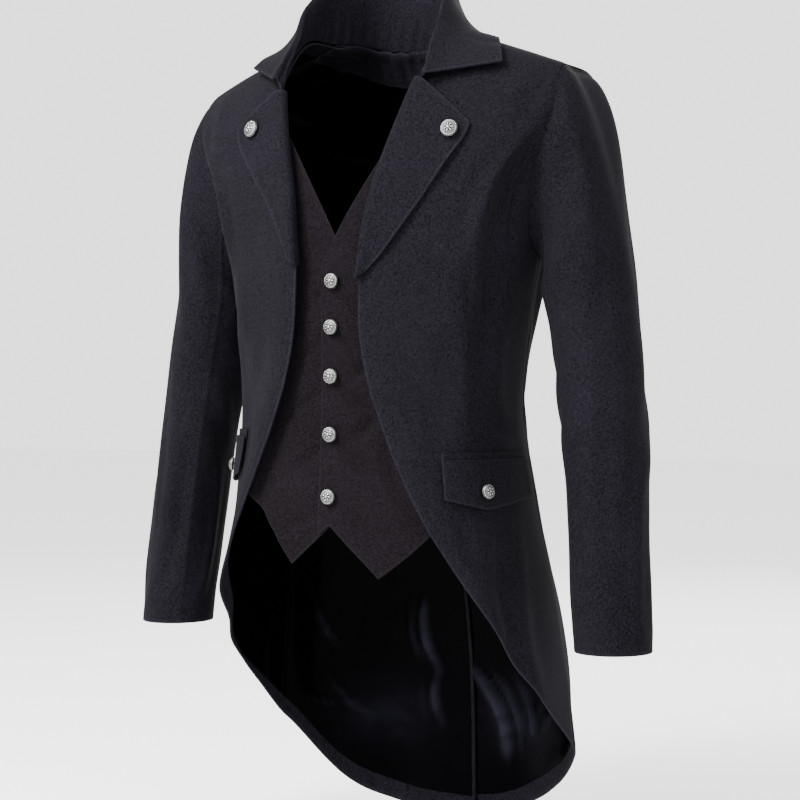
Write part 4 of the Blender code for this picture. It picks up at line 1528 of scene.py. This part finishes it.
@dataclass
class Collar(Assembly):
    """Stand and fall of the collar in one folded piece."""

    stations: int = 220
    columns: int = 72
    rest: float = 0.0055
    # Share along the neck edge (-1 left gorge, 0 nape, 1 right gorge), fold x y z, outer edge
    # x y z, how full the fall bows out
    sections: Array = rows_of(
        (-1.0, 0.0915, -0.097, -0.064, 0.165, -0.0655, -0.0525, 0.0),
        (-0.82, 0.087, -0.064, -0.014, 0.153, -0.045, -0.033, -0.005),
        (-0.64, 0.08, -0.033, 0.026, 0.1345, -0.013, -0.019, -0.012),
        (-0.42, 0.06, 0.006, 0.05, 0.117, 0.02, -0.013, -0.016),
        (-0.2, 0.04, 0.05, 0.058, 0.08, 0.076, -0.023, -0.014),
        (0.0, -0.008, 0.07, 0.06, -0.004, 0.103, -0.03, -0.006),
        (0.2, -0.056, 0.048, 0.059, -0.092, 0.08, -0.023, -0.008),
        (0.42, -0.076, 0.002, 0.056, -0.131, 0.025, -0.013, -0.01),
        (0.64, -0.082, -0.035, 0.029, -0.132, -0.012, -0.011, -0.006),
        (0.82, -0.08, -0.06, -0.01, -0.136, -0.038, -0.018, -0.002),
        (1.0, -0.088, -0.09, -0.0545, -0.137, -0.062, -0.033, 0.0),
    )

    def neck_edge(self, share: Array) -> tuple[Array, Array, Array]:
        """Point, outward direction and level outward direction of the neck edge.

        Args:
            share: Shares along the edge, from -1 to 1 with 0 at the nape.

        Returns:
            Points, directions off the form and level directions, a row for each share.
        """
        form = self.form
        tables = (ROLL_LINE[3:], BACK_NECK[2:])
        line = np.concatenate([form.seam(table, 60, Side.LEFT) for table in tables])
        points = form.point(line[:, 0], line[:, 1])
        run = np.concatenate([[0], np.cumsum(np.linalg.norm(np.diff(points, axis=0), axis=1))])
        off = form.normal(line[:, 0], np.maximum(line[:, 1], form.seam_level))
        want = (1 - np.abs(share)) * run[-1]
        flip = np.stack([np.where(share > 0, -1, 1), 0 * want + 1, 0 * want + 1], -1)
        found = np.stack([np.interp(want, run, points[:, i]) for i in range(3)], -1) * flip
        away = np.stack([np.interp(want, run, off[:, i]) for i in range(3)], -1) * flip
        out = np.stack([found[:, 0], found[:, 1], 0 * want], -1)
        return found, away, out / np.linalg.norm(out, axis=1, keepdims=True)

    def under(self, points: Array) -> Array:
        """Height of the worn form under points near the neck, a mean of its nearest samples.

        Args:
            points: Points of the fall.

        Returns:
            Heights in metres, one for each point.
        """
        phi, level = np.meshgrid(np.radians(np.arange(8.0, 353.0, 1.5)), np.linspace(0.0, 2.6, 90))
        form = self.form.point(phi, level).reshape(-1, 3)
        flat = points.reshape(-1, 3)
        apart = ((flat[:, None, :2] - form[None, :, :2]) ** 2).sum(-1)
        weight = np.exp((apart.min(1, keepdims=True) - apart) / 0.006**2)
        return (weight @ form[:, 2] / weight.sum(1)).reshape(points.shape[:-1])

    def controls(self) -> Array:
        """Control points: up the stand, over the fold and down the fall.

        Returns:
            Control points, rows by columns by 3.
        """
        row = through(self.sections, np.linspace(0, len(self.sections) - 1, 66))
        edge_point, away, out = self.neck_edge(row[:, 0])
        fold, edge, bow = row[:, 1:4], row[:, 4:7], row[:, 7]
        up = np.array([0, 0, 1.0])
        front_share = np.clip((np.abs(row[:, :1]) - 0.45) / 0.3, 0, 1)
        neck = edge_point - out * 0.0014 + away * (0.0012 + 0.0022 * front_share)
        columns = [neck, neck * 0.5 + fold * 0.5 - out * 0.0005, fold * 0.85 + neck * 0.15 - out * 0.0005]
        columns.append(fold + out * 0.0010 + up * 0.0015)
        columns.append(fold + out * 0.0060 + up * 0.0005)
        for share in (0.22, 0.42, 0.62, 0.82, 1.0):
            sag = math.sin(math.pi * share) * bow[:, None]
            columns.append(fold * (1 - share) + edge * share + up * sag + out * 0.004 * (1 - share))
        face = np.stack(columns, 1)
        face[:, 4:, 2] = np.maximum(face[:, 4:, 2], self.under(face[:, 4:]) + self.rest)
        return face

    def build(self) -> None:
        """The collar."""
        points = refined(self.controls(), self.stations, self.columns)
        normal = grid_normals(points)
        along = run_lengths(points, 0)
        share = np.linspace(0, 1, self.columns)[None, :]
        beat = 1 + 0.5 * np.sin(along / 0.017)
        pucker = 0.0008 * beat * np.sin(along / 0.0024) * np.exp(-((share - 0.05) / 0.05) ** 2)
        pucker += 0.0008 * np.sin(along / 0.011 + 4 * share) * np.exp(-((share - 0.2) / 0.16) ** 2)
        points = points + normal * pucker[..., None]
        inner = points + normal * CLOTH
        free = (Edge.LAST_COLUMN, Edge.FIRST_ROW, Edge.LAST_ROW)
        piece = wall("collar_folded", points, inner, self.finishes.coat, free=free)
        hang(piece, points, "coat", Held.FOLDED, ["back_left", "back_right"], "collar")
        self.stitching.row(points, Edge.LAST_COLUMN, 0.005, Side.LEFT, (0.006, 0.006))
        self.stitching.row(points[:, 30:], Edge.FIRST_ROW, 0.005, Side.LEFT, (0.0, 0.006))
        self.stitching.row(points[:, 30:], Edge.LAST_ROW, 0.005, Side.LEFT, (0.0, 0.006))


@dataclass
class Sleeves(Assembly):
    """Top sleeve and under sleeve of each arm, from the armhole to the cuff.

    A sleeve is a cubic blend from the armhole's ring to the first ring of the arm, then rings down
    the arm. Sleeve angles are 0 at the shoulder, 90 in front, 180 under the arm and 270 behind.
    """

    cap_rows: int = 44
    tube_rows: int = 84
    front_seam: float = 131.0
    hind_seam: float = 255.0
    radius: float = 0.042
    # Height, centre x, centre y, radius across, radius front to back
    arm: Array = rows_of(
        (-0.285, 0.2305, 0.004, 0.0455, 0.0505), (-0.36, 0.242, 0.001, 0.0435, 0.048),
        (-0.44, 0.251, -0.006, 0.0415, 0.0455), (-0.52, 0.258, -0.013, 0.04, 0.0435),
        (-0.6, 0.264, -0.02, 0.039, 0.042), (-0.641, 0.2665, -0.023, 0.0385, 0.0415),
    )
    # Sleeve angle over 1000 and share down the sleeve at both ends, width, depth
    wrinkles: Array = rows_of(
        (0.148, 0.44, 0.205, 0.56, 0.011, -0.0052), (0.118, 0.5, 0.185, 0.6, 0.01, -0.004),
        (0.1, 0.57, 0.165, 0.65, 0.01, -0.003), (0.196, 0.36, 0.25, 0.47, 0.012, -0.0042),
        (0.06, 0.18, 0.12, 0.34, 0.013, -0.0034), (0.03, 0.14, 0.07, 0.3, 0.014, -0.0026),
        (-0.07, 0.2, -0.03, 0.38, 0.013, -0.0034), (0.12, 0.24, 0.165, 0.4, 0.012, -0.0036),
        (0.168, 0.62, 0.158, 0.92, 0.009, -0.003), (0.112, 0.6, 0.096, 0.88, 0.011, 0.0026),
        (0.05, 0.46, 0.06, 0.86, 0.013, 0.0024), (-0.092, 0.48, -0.025, 0.58, 0.011, -0.0024),
        (-0.07, 0.55, -0.01, 0.63, 0.01, -0.0018), (-0.04, 0.62, 0.03, 0.7, 0.01, -0.0024),
        (0.02, 0.3, 0.07, 0.44, 0.015, 0.0026), (0.232, 0.58, 0.226, 0.86, 0.01, -0.003),
        (0.01, 0.66, 0.022, 0.94, 0.012, -0.0028), (-0.03, 0.7, -0.045, 0.94, 0.012, 0.0022),
    )

    def armhole(self, theta: Array, offset: float = 0.0002) -> Array:
        """Points of the armhole at sleeve angles, at an offset from the form.

        Args:
            theta: Sleeve angles in degrees.
            offset: Metres off the form.

        Returns:
            Points, one for each angle.
        """
        front = self.form.seam(ARMHOLE_FRONT, 181, Side.LEFT)[::-1]
        back = self.form.seam(ARMHOLE_BACK, 181, Side.LEFT)
        whole = np.concatenate([front, back[1:]])
        marks = np.linspace(0, 360, len(whole))
        turned = np.mod(theta, 360)
        phi = np.interp(turned, marks, whole[:, 0])
        level = np.maximum(np.interp(turned, marks, whole[:, 1]), self.form.seam_level)
        return self.form.laid(phi, level, np.full(phi.shape, offset))

    def strip(self, theta: Array) -> Array:
        """Outer face of a sleeve strip over a run of sleeve angles.

        Args:
            theta: Sleeve angles in degrees.

        Returns:
            Points, rows by columns by 3.
        """
        start = self.armhole(theta)
        rings = through(self.arm, np.linspace(0, len(self.arm) - 1, self.tube_rows + 1))
        angle = np.radians(theta)
        x = rings[:, 1, None] + rings[:, 3, None] * np.cos(angle)
        y = rings[:, 2, None] - rings[:, 4, None] * np.sin(angle)
        tube = np.stack([x, y, np.broadcast_to(rings[:, 0, None], x.shape)], -1)
        end = tube[0]
        chord = np.linalg.norm(end - start, axis=1, keepdims=True)
        top = np.clip(np.cos(angle), 0, 1)[:, None]
        leave = np.array([1.0, 0.0, 0.0]) + top * np.array([-0.30, 0.0, -0.80])
        leave = leave * chord * (0.60 + 0.02 * top)
        way = tube[1] - tube[0]
        arrive = way / np.linalg.norm(way, axis=1, keepdims=True) * chord * 1.1
        s = crowded(self.cap_rows, 0.35)[:, None, None]
        cap = (2 * s**3 - 3 * s**2 + 1) * start + (s**3 - 2 * s**2 + s) * leave
        cap = cap + (3 * s**2 - 2 * s**3) * end + (s**3 - s**2) * arrive
        # The first row is tucked into the panel's thickness, so the seam closes
        cap[0] = self.armhole(theta, -0.0010) + np.array([-0.0026, 0.0, 0.0])
        return np.concatenate([cap, tube[1:]])

    def dressed(self, theta: Array) -> Array:
        """A strip with its wrinkles, seam dips and the rolled sleeve head.

        Args:
            theta: Sleeve angles in degrees.

        Returns:
            Points, rows by columns by 3.
        """
        face = self.strip(theta)
        normal = grid_normals(face)
        share = np.linspace(0, 1, len(face))[:, None]
        across = np.broadcast_to(theta[None] / 1000.0, face.shape[:2])
        down = np.broadcast_to(share, face.shape[:2])
        table = self.wrinkles * np.array([1.0, 0.30, 1.0, 0.30, 1.0, 1.0])
        relief = creases(across, down * 0.30, table) + unevenness(across * 1.4, down * 0.6, 0.0006)
        distance = edge_distances(face)
        for which in (Edge.FIRST_COLUMN, Edge.LAST_COLUMN):
            relief = relief - 0.0007 * np.exp(-((distance[which] / 0.0028) ** 2))
        start = distance[Edge.FIRST_ROW]
        head = 0.0016 * np.clip(np.cos(np.radians(theta)), 0, 1)[None]
        head = head * np.exp(-(((start - 0.008) / 0.006) ** 2))
        relief = relief * np.clip(start / 0.02, 0, 1) + head
        return face + normal * relief[..., None]

    def build_side(self, side: Side) -> None:
        """Both strips of one sleeve.

        Args:
            side: The wearer's left or right.
        """
        over = self.hind_seam - 360 + (self.front_seam - self.hind_seam + 360) * crowded(92, 0.6)
        under = self.front_seam + (self.hind_seam - self.front_seam) * crowded(52, 0.6)
        for word, theta in (("top", over), ("under", under)):
            face = self.dressed(theta)
            normal = grid_normals(face)
            middle = face.mean(1, keepdims=True)
            if np.einsum("ijk,ijk->", normal[-20:], (face - middle)[-20:]) < 0:
                normal = -normal
            node = f"sleeve_{word}_{side.word}"
            across = np.broadcast_to(np.radians(theta) * self.radius, face.shape[:2])
            cloth = np.stack([across, face[..., 2]], -1)
            inner = face - normal * CLOTH
            name = f"sleeve_cloth_{word}_{side.word}"
            piece = wall(name, face, inner, self.finishes.coat, side, (Edge.LAST_ROW,), cloth=cloth)
            hang(piece, face, "coat", Held.HUNG, [f"front_{side.word}", f"back_{side.word}"], node)


# Height of the seam that each flap hangs from
POCKET_TOP = {Side.LEFT: -0.452, Side.RIGHT: -0.430}


@dataclass
class Pockets(Assembly):
    """Pocket flaps with a pointed edge, and the welts above them."""

    angles: tuple[float, float] = (43.0, 96.0)

    def strip(self, top: float, drop: float, point: float, rows: int) -> Array:
        """Angle and section grid of a strip whose lower edge comes to a soft point.

        Args:
            top: Height of its upper edge.
            drop: Its depth without the point.
            point: How much lower the point reaches.
            rows: Intervals down the strip.

        Returns:
            Pairs, rows by columns by 2.
        """
        share = crowded(72, 0.6)
        phi = np.radians(self.angles[0] + (self.angles[1] - self.angles[0]) * share)
        slope = 1 - np.sqrt((share - 0.38) ** 2 + 0.0006) / np.where(share < 0.38, 0.38, 0.62)
        low = top - drop - point * np.clip(slope, 0, 1)
        v = crowded(rows, 0.5)[:, None]
        height = low[None] * (1 - v) + top * v
        phi = np.broadcast_to(phi, height.shape)
        return np.stack([phi, self.form.level_at(phi, height)], -1)

    def build_side(self, side: Side) -> None:
        """One flap and its welt.

        Args:
            side: The wearer's left or right.
        """
        top = POCKET_TOP[side]
        strips = (("flap", 36, 0.0395, 0.011, 0.0051), ("welt", 14, 0.0105, 0.0, 0.0027))
        for kind, rows, drop, point, offset in strips:
            grid = self.strip(top if kind == "flap" else top + 0.0070, drop, point, rows)
            share = np.linspace(0, 1, grid.shape[1])[None]
            curl = 0.0008 * np.sin(5 * share + 0.8) * (1 - np.linspace(0, 1, rows + 1)[:, None])
            depth = offset + curl * (kind == "flap")
            outer, inner = self.form.faces(grid, depth, CLOTH)
            piece = wall(
                f"{kind}_cloth_{side.word}", outer, inner, self.finishes.coat, side,
                (Edge.FIRST_ROW, Edge.FIRST_COLUMN, Edge.LAST_COLUMN),
            )
            hang(piece, outer, "coat", Held.LAID, [f"front_{side.word}"], f"pocket_{kind}_{side.word}")
            if kind == "flap":
                self.stitching.row(outer, Edge.FIRST_ROW, 0.006, side, (0.006, 0.006))
                self.stitching.row(outer, Edge.FIRST_COLUMN, 0.006, side, (0.006, 0.0))
                self.stitching.row(outer, Edge.LAST_COLUMN, 0.006, side, (0.006, 0.0))


@dataclass
class Buttons:
    """Domed buttons with a rope rim and a rosette."""

    form: WornForm
    finishes: Finishes
    rings: int = 46
    around: int = 96
    crown: int = 7
    heights: tuple[float, ...] = (-0.271, -0.318, -0.368, -0.427, -0.490)
    # Share of the radius, height over the seat, from the shank up to the crown
    profile: Array = rows_of(
        (0.02, 0.0004), (0.26, 0.0004), (0.27, 0.002), (0.6, 0.0021), (0.9, 0.0024), (0.985, 0.0029),
        (1.0, 0.0034), (0.975, 0.004), (0.9, 0.0046), (0.76, 0.0054), (0.58, 0.0062), (0.36, 0.0069),
        (0.16, 0.0072), (0.02, 0.0073),
    )

    def relief(self, share: Array, turn: Array, top: Array) -> Array:
        """Ornament on the crown: a rope rim, seven petals and a small boss, from 0 to 1.

        Args:
            share: Shares of the radius.
            turn: Angles round the button.
            top: 1 on the crown, 0 below it.

        Returns:
            The relief, rings by angles.
        """
        strands = np.clip(0.45 + 0.55 * np.cos(24 * turn + 40 * share), 0, 1)
        rope = np.exp(-(((share - 0.86) / 0.050) ** 2)) * strands
        ring = 0.55 * np.exp(-(((share - 0.70) / 0.018) ** 2))
        petal = np.exp(-(((share - 0.42) / 0.13) ** 2)) * np.clip(np.cos(7 * turn), 0, 1) ** 1.6
        leaf = 0.5 * np.exp(-(((share - 0.56) / 0.05) ** 2)) * np.clip(-np.cos(7 * turn), 0, 1) ** 2
        boss = 0.9 * np.exp(-((share / 0.12) ** 2))
        return np.maximum.reduce(np.broadcast_arrays(rope, ring, petal, leaf, boss)) * top

    def build_one(self, name: str, node: str, centre: Array, way: Array, diameter: float) -> None:
        """One button.

        Args:
            name: Name of the piece.
            node: CAD node that it stands for.
            centre: Middle of its seat.
            way: Direction that it faces.
            diameter: Its width in metres.
        """
        t = np.linspace(0, len(self.profile) - 1, self.rings + 40)
        curve = through(self.profile, t)
        turn = np.linspace(0, 2 * math.pi, self.around, endpoint=False)
        share, rise = curve[:, :1], curve[:, 1:2]
        top = np.clip(t[:, None] - self.crown, 0, 1)
        mark = self.relief(share, turn[None], top)
        rise = rise + 0.00060 * mark * diameter / 0.018
        way = way / np.linalg.norm(way)
        across = np.cross([0.0, 0.0, 1.0], way)
        across /= np.linalg.norm(across)
        up = np.cross(way, across)
        ring = np.cos(turn)[:, None] * across + np.sin(turn)[:, None] * up
        points = centre + ring[None] * (share * diameter / 2)[..., None] + rise[..., None] * way
        rows, count = points.shape[:2]
        index = np.arange(rows * count).reshape(rows, count)
        after = np.roll(index, -1, axis=1)
        side = np.stack([index[:-1], after[:-1], after[1:], index[1:]], -1).reshape(-1, 4)
        step = np.arange(0, count, 2)
        odd = (step + 1) % count
        low, high = (np.full(len(step), rows * count + pole) for pole in (0, 1))
        caps = [
            np.stack([low, after[0, odd], index[0, odd], index[0, step]], -1),
            np.stack([high, index[-1, step], index[-1, odd], after[-1, odd]], -1),
        ]
        poles = np.stack([centre + way * self.profile[0, 1], centre + way * (self.profile[-1, 1] + 0.0004)])
        faces = np.concatenate([side, *caps])
        full = np.concatenate([points.reshape(-1, 3), poles])
        a, b, c, d = (full[faces[:, i]] - centre for i in range(4))
        if np.einsum("ij,ij->", a, np.cross(b, c)) + np.einsum("ij,ij->", a, np.cross(c, d)) < 0:
            faces = faces[:, ::-1]
        # Relief mark for the metal colour: bright on the raised ornament, dark between, as wear and patina
        # and as painted highlight and painted shade.
        marks = np.concatenate([np.where(top > 0, 0.02 + 0.98 * mark**1.2, 0.22).ravel(), [0.4, 1.0]])
        made = mesh_object(name, full, faces, self.finishes.button, relief=marks)
        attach(made, "root")
        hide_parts(node)
        LOG.info("%s: %.1f mm", name, diameter * 1000)

    def seat(
        self, degrees: float, height: float, offset: float, side: Side, lifted: bool = True
    ) -> tuple[Array, Array]:
        """Middle and direction of a button's seat on the form.

        Args:
            degrees: Angle from centre front.
            height: Height in metres.
            offset: Metres off the cloth's fold, or off the plain form where it isn't lifted.
            side: The wearer's left or right.
            lifted: Whether the seat goes out with the front edge and the drape folds.

        Returns:
            The middle and the direction.
        """
        phi = np.array(math.radians(degrees))
        level = self.form.level_at(phi, np.array(height))
        way = self.form.normal(phi, level)
        reach = offset + (float(self.form.stand_off(phi, level)) if lifted else 0.0)
        flip = np.array([side.value, 1, 1])
        return (self.form.point(phi, level) + way * reach) * flip, way * flip

    def build(self) -> None:
        """Five waistcoat buttons, two on the lapels and two on the flaps."""
        for number, height in enumerate(self.heights, 1):
            centre, way = self.seat(0.0, height, -0.0044, Side.LEFT, lifted=False)
            self.build_one(f"button_waistcoat_{number}", f"waistcoat_button_{number}", centre, way, 0.0162)
        for side, degrees, height in ((Side.LEFT, 29.4, -0.124), (Side.RIGHT, 25.0, -0.109)):
            centre, way = self.seat(degrees, height, 0.0050, side)
            self.build_one(f"button_lapel_{side.word}", f"lapel_button_{side.word}", centre, way, 0.0180)
        for side, top in POCKET_TOP.items():
            centre, way = self.seat(63.0, top - 0.032, 0.0053, side)
            self.build_one(f"button_flap_{side.word}", f"flap_button_{side.word}", centre, way, 0.0150)


@dataclass
class Studio:
    """Pale floor, soft light and the camera."""

    azimuth: float = 30.0
    distance: float = 2.0
    eye_height: float = -0.387
    focal_px: float = 1864.0
    picture_px: float = 800.0
    sensor_mm: float = 36.0
    floor_height: float = -0.90

    def build(self) -> None:
        """Place the floor, the lights, the sky and the camera."""
        self.camera()
        self.floor()
        world = bpy.data.worlds.new("studio")
        bpy.context.scene.world = world
        world.use_nodes = True
        sky = world.node_tree.nodes["Background"]
        sky.inputs["Color"].default_value = (1.0, 1.0, 1.0, 1.0)
        sky.inputs["Strength"].default_value = 2.2
        self.area("key", (-0.55, -1.6, 1.40), 0.9, 185.0)
        self.area("fill", (2.5, -1.2, 1.0), 1.0, 36.0)
        self.area("back", (-0.4, 2.6, 1.2), 1.8, 60.0)
        self.area("low", (-0.95, -1.9, 0.42), 0.32, 46.0)

    def area(self, name: str, place: tuple[float, float, float], size: float, power: float) -> None:
        """A square light that looks at the coat's chest.

        Args:
            name: Its name.
            place: Where it stands.
            size: Its edge in metres.
            power: Its power in watts.
        """
        data = bpy.data.lights.new(name, "AREA")
        data.size = size
        data.energy = power
        made = bpy.data.objects.new(name, data)
        made.location = place
        made.rotation_euler = (Vector((0, 0, -0.35)) - Vector(place)).to_track_quat("-Z", "Y").to_euler()
        bpy.context.scene.collection.objects.link(made)

    def floor(self) -> None:
        """A wide plain floor under the coat."""
        made = bpy.data.materials.new("floor white")
        made.use_nodes = True
        shader = made.node_tree.nodes["Principled BSDF"]
        shader.inputs["Base Color"].default_value = (0.95, 0.95, 0.95, 1.0)
        shader.inputs["Roughness"].default_value = 0.9
        size = 12.0
        points = np.array([[-size, -size, 0], [size, -size, 0], [size, size, 0], [-size, size, 0]], float)
        points[:, 2] = self.floor_height
        plane = mesh_object("floor", points, np.array([[0, 1, 2, 3]]), made)

    def camera(self) -> None:
        """The camera at the photograph's angle, level with the middle of the coat."""
        data = bpy.data.cameras.new("camera")
        data.sensor_width = self.sensor_mm
        data.lens = self.focal_px * self.sensor_mm / self.picture_px
        data.shift_x = 8.0 / self.picture_px
        data.shift_y = -5.0 / self.picture_px
        turn = math.radians(self.azimuth)
        made = bpy.data.objects.new("camera", data)
        made.location = (self.distance * math.sin(turn), -self.distance * math.cos(turn), self.eye_height)
        made.rotation_euler = (math.radians(90), 0, turn)
        bpy.context.scene.collection.objects.link(made)
        bpy.context.scene.camera = made


def main() -> None:
    """Dress the tailcoat piece by piece."""
    logging.basicConfig(level=logging.INFO, format="%(message)s")
    Studio().build()
    form = WornForm()
    finishes = Finishes.make()
    coat_rows = Stitching("coat_stitching", "coat")
    waistcoat_rows = Stitching("waistcoat_stitching", "waistcoat")
    Panels(form, finishes, coat_rows).build()
    Waistcoat(form, finishes, waistcoat_rows).build()
    Lapels(form, finishes, coat_rows).build()
    Collar(form, finishes, coat_rows).build()
    Sleeves(form, finishes, coat_rows).build()
    Pockets(form, finishes, coat_rows).build()
    Buttons(form, finishes).build()
    coat_rows.build(finishes.thread)
    waistcoat_rows.build(finishes.thread)


if __name__ == "__main__":
    main()
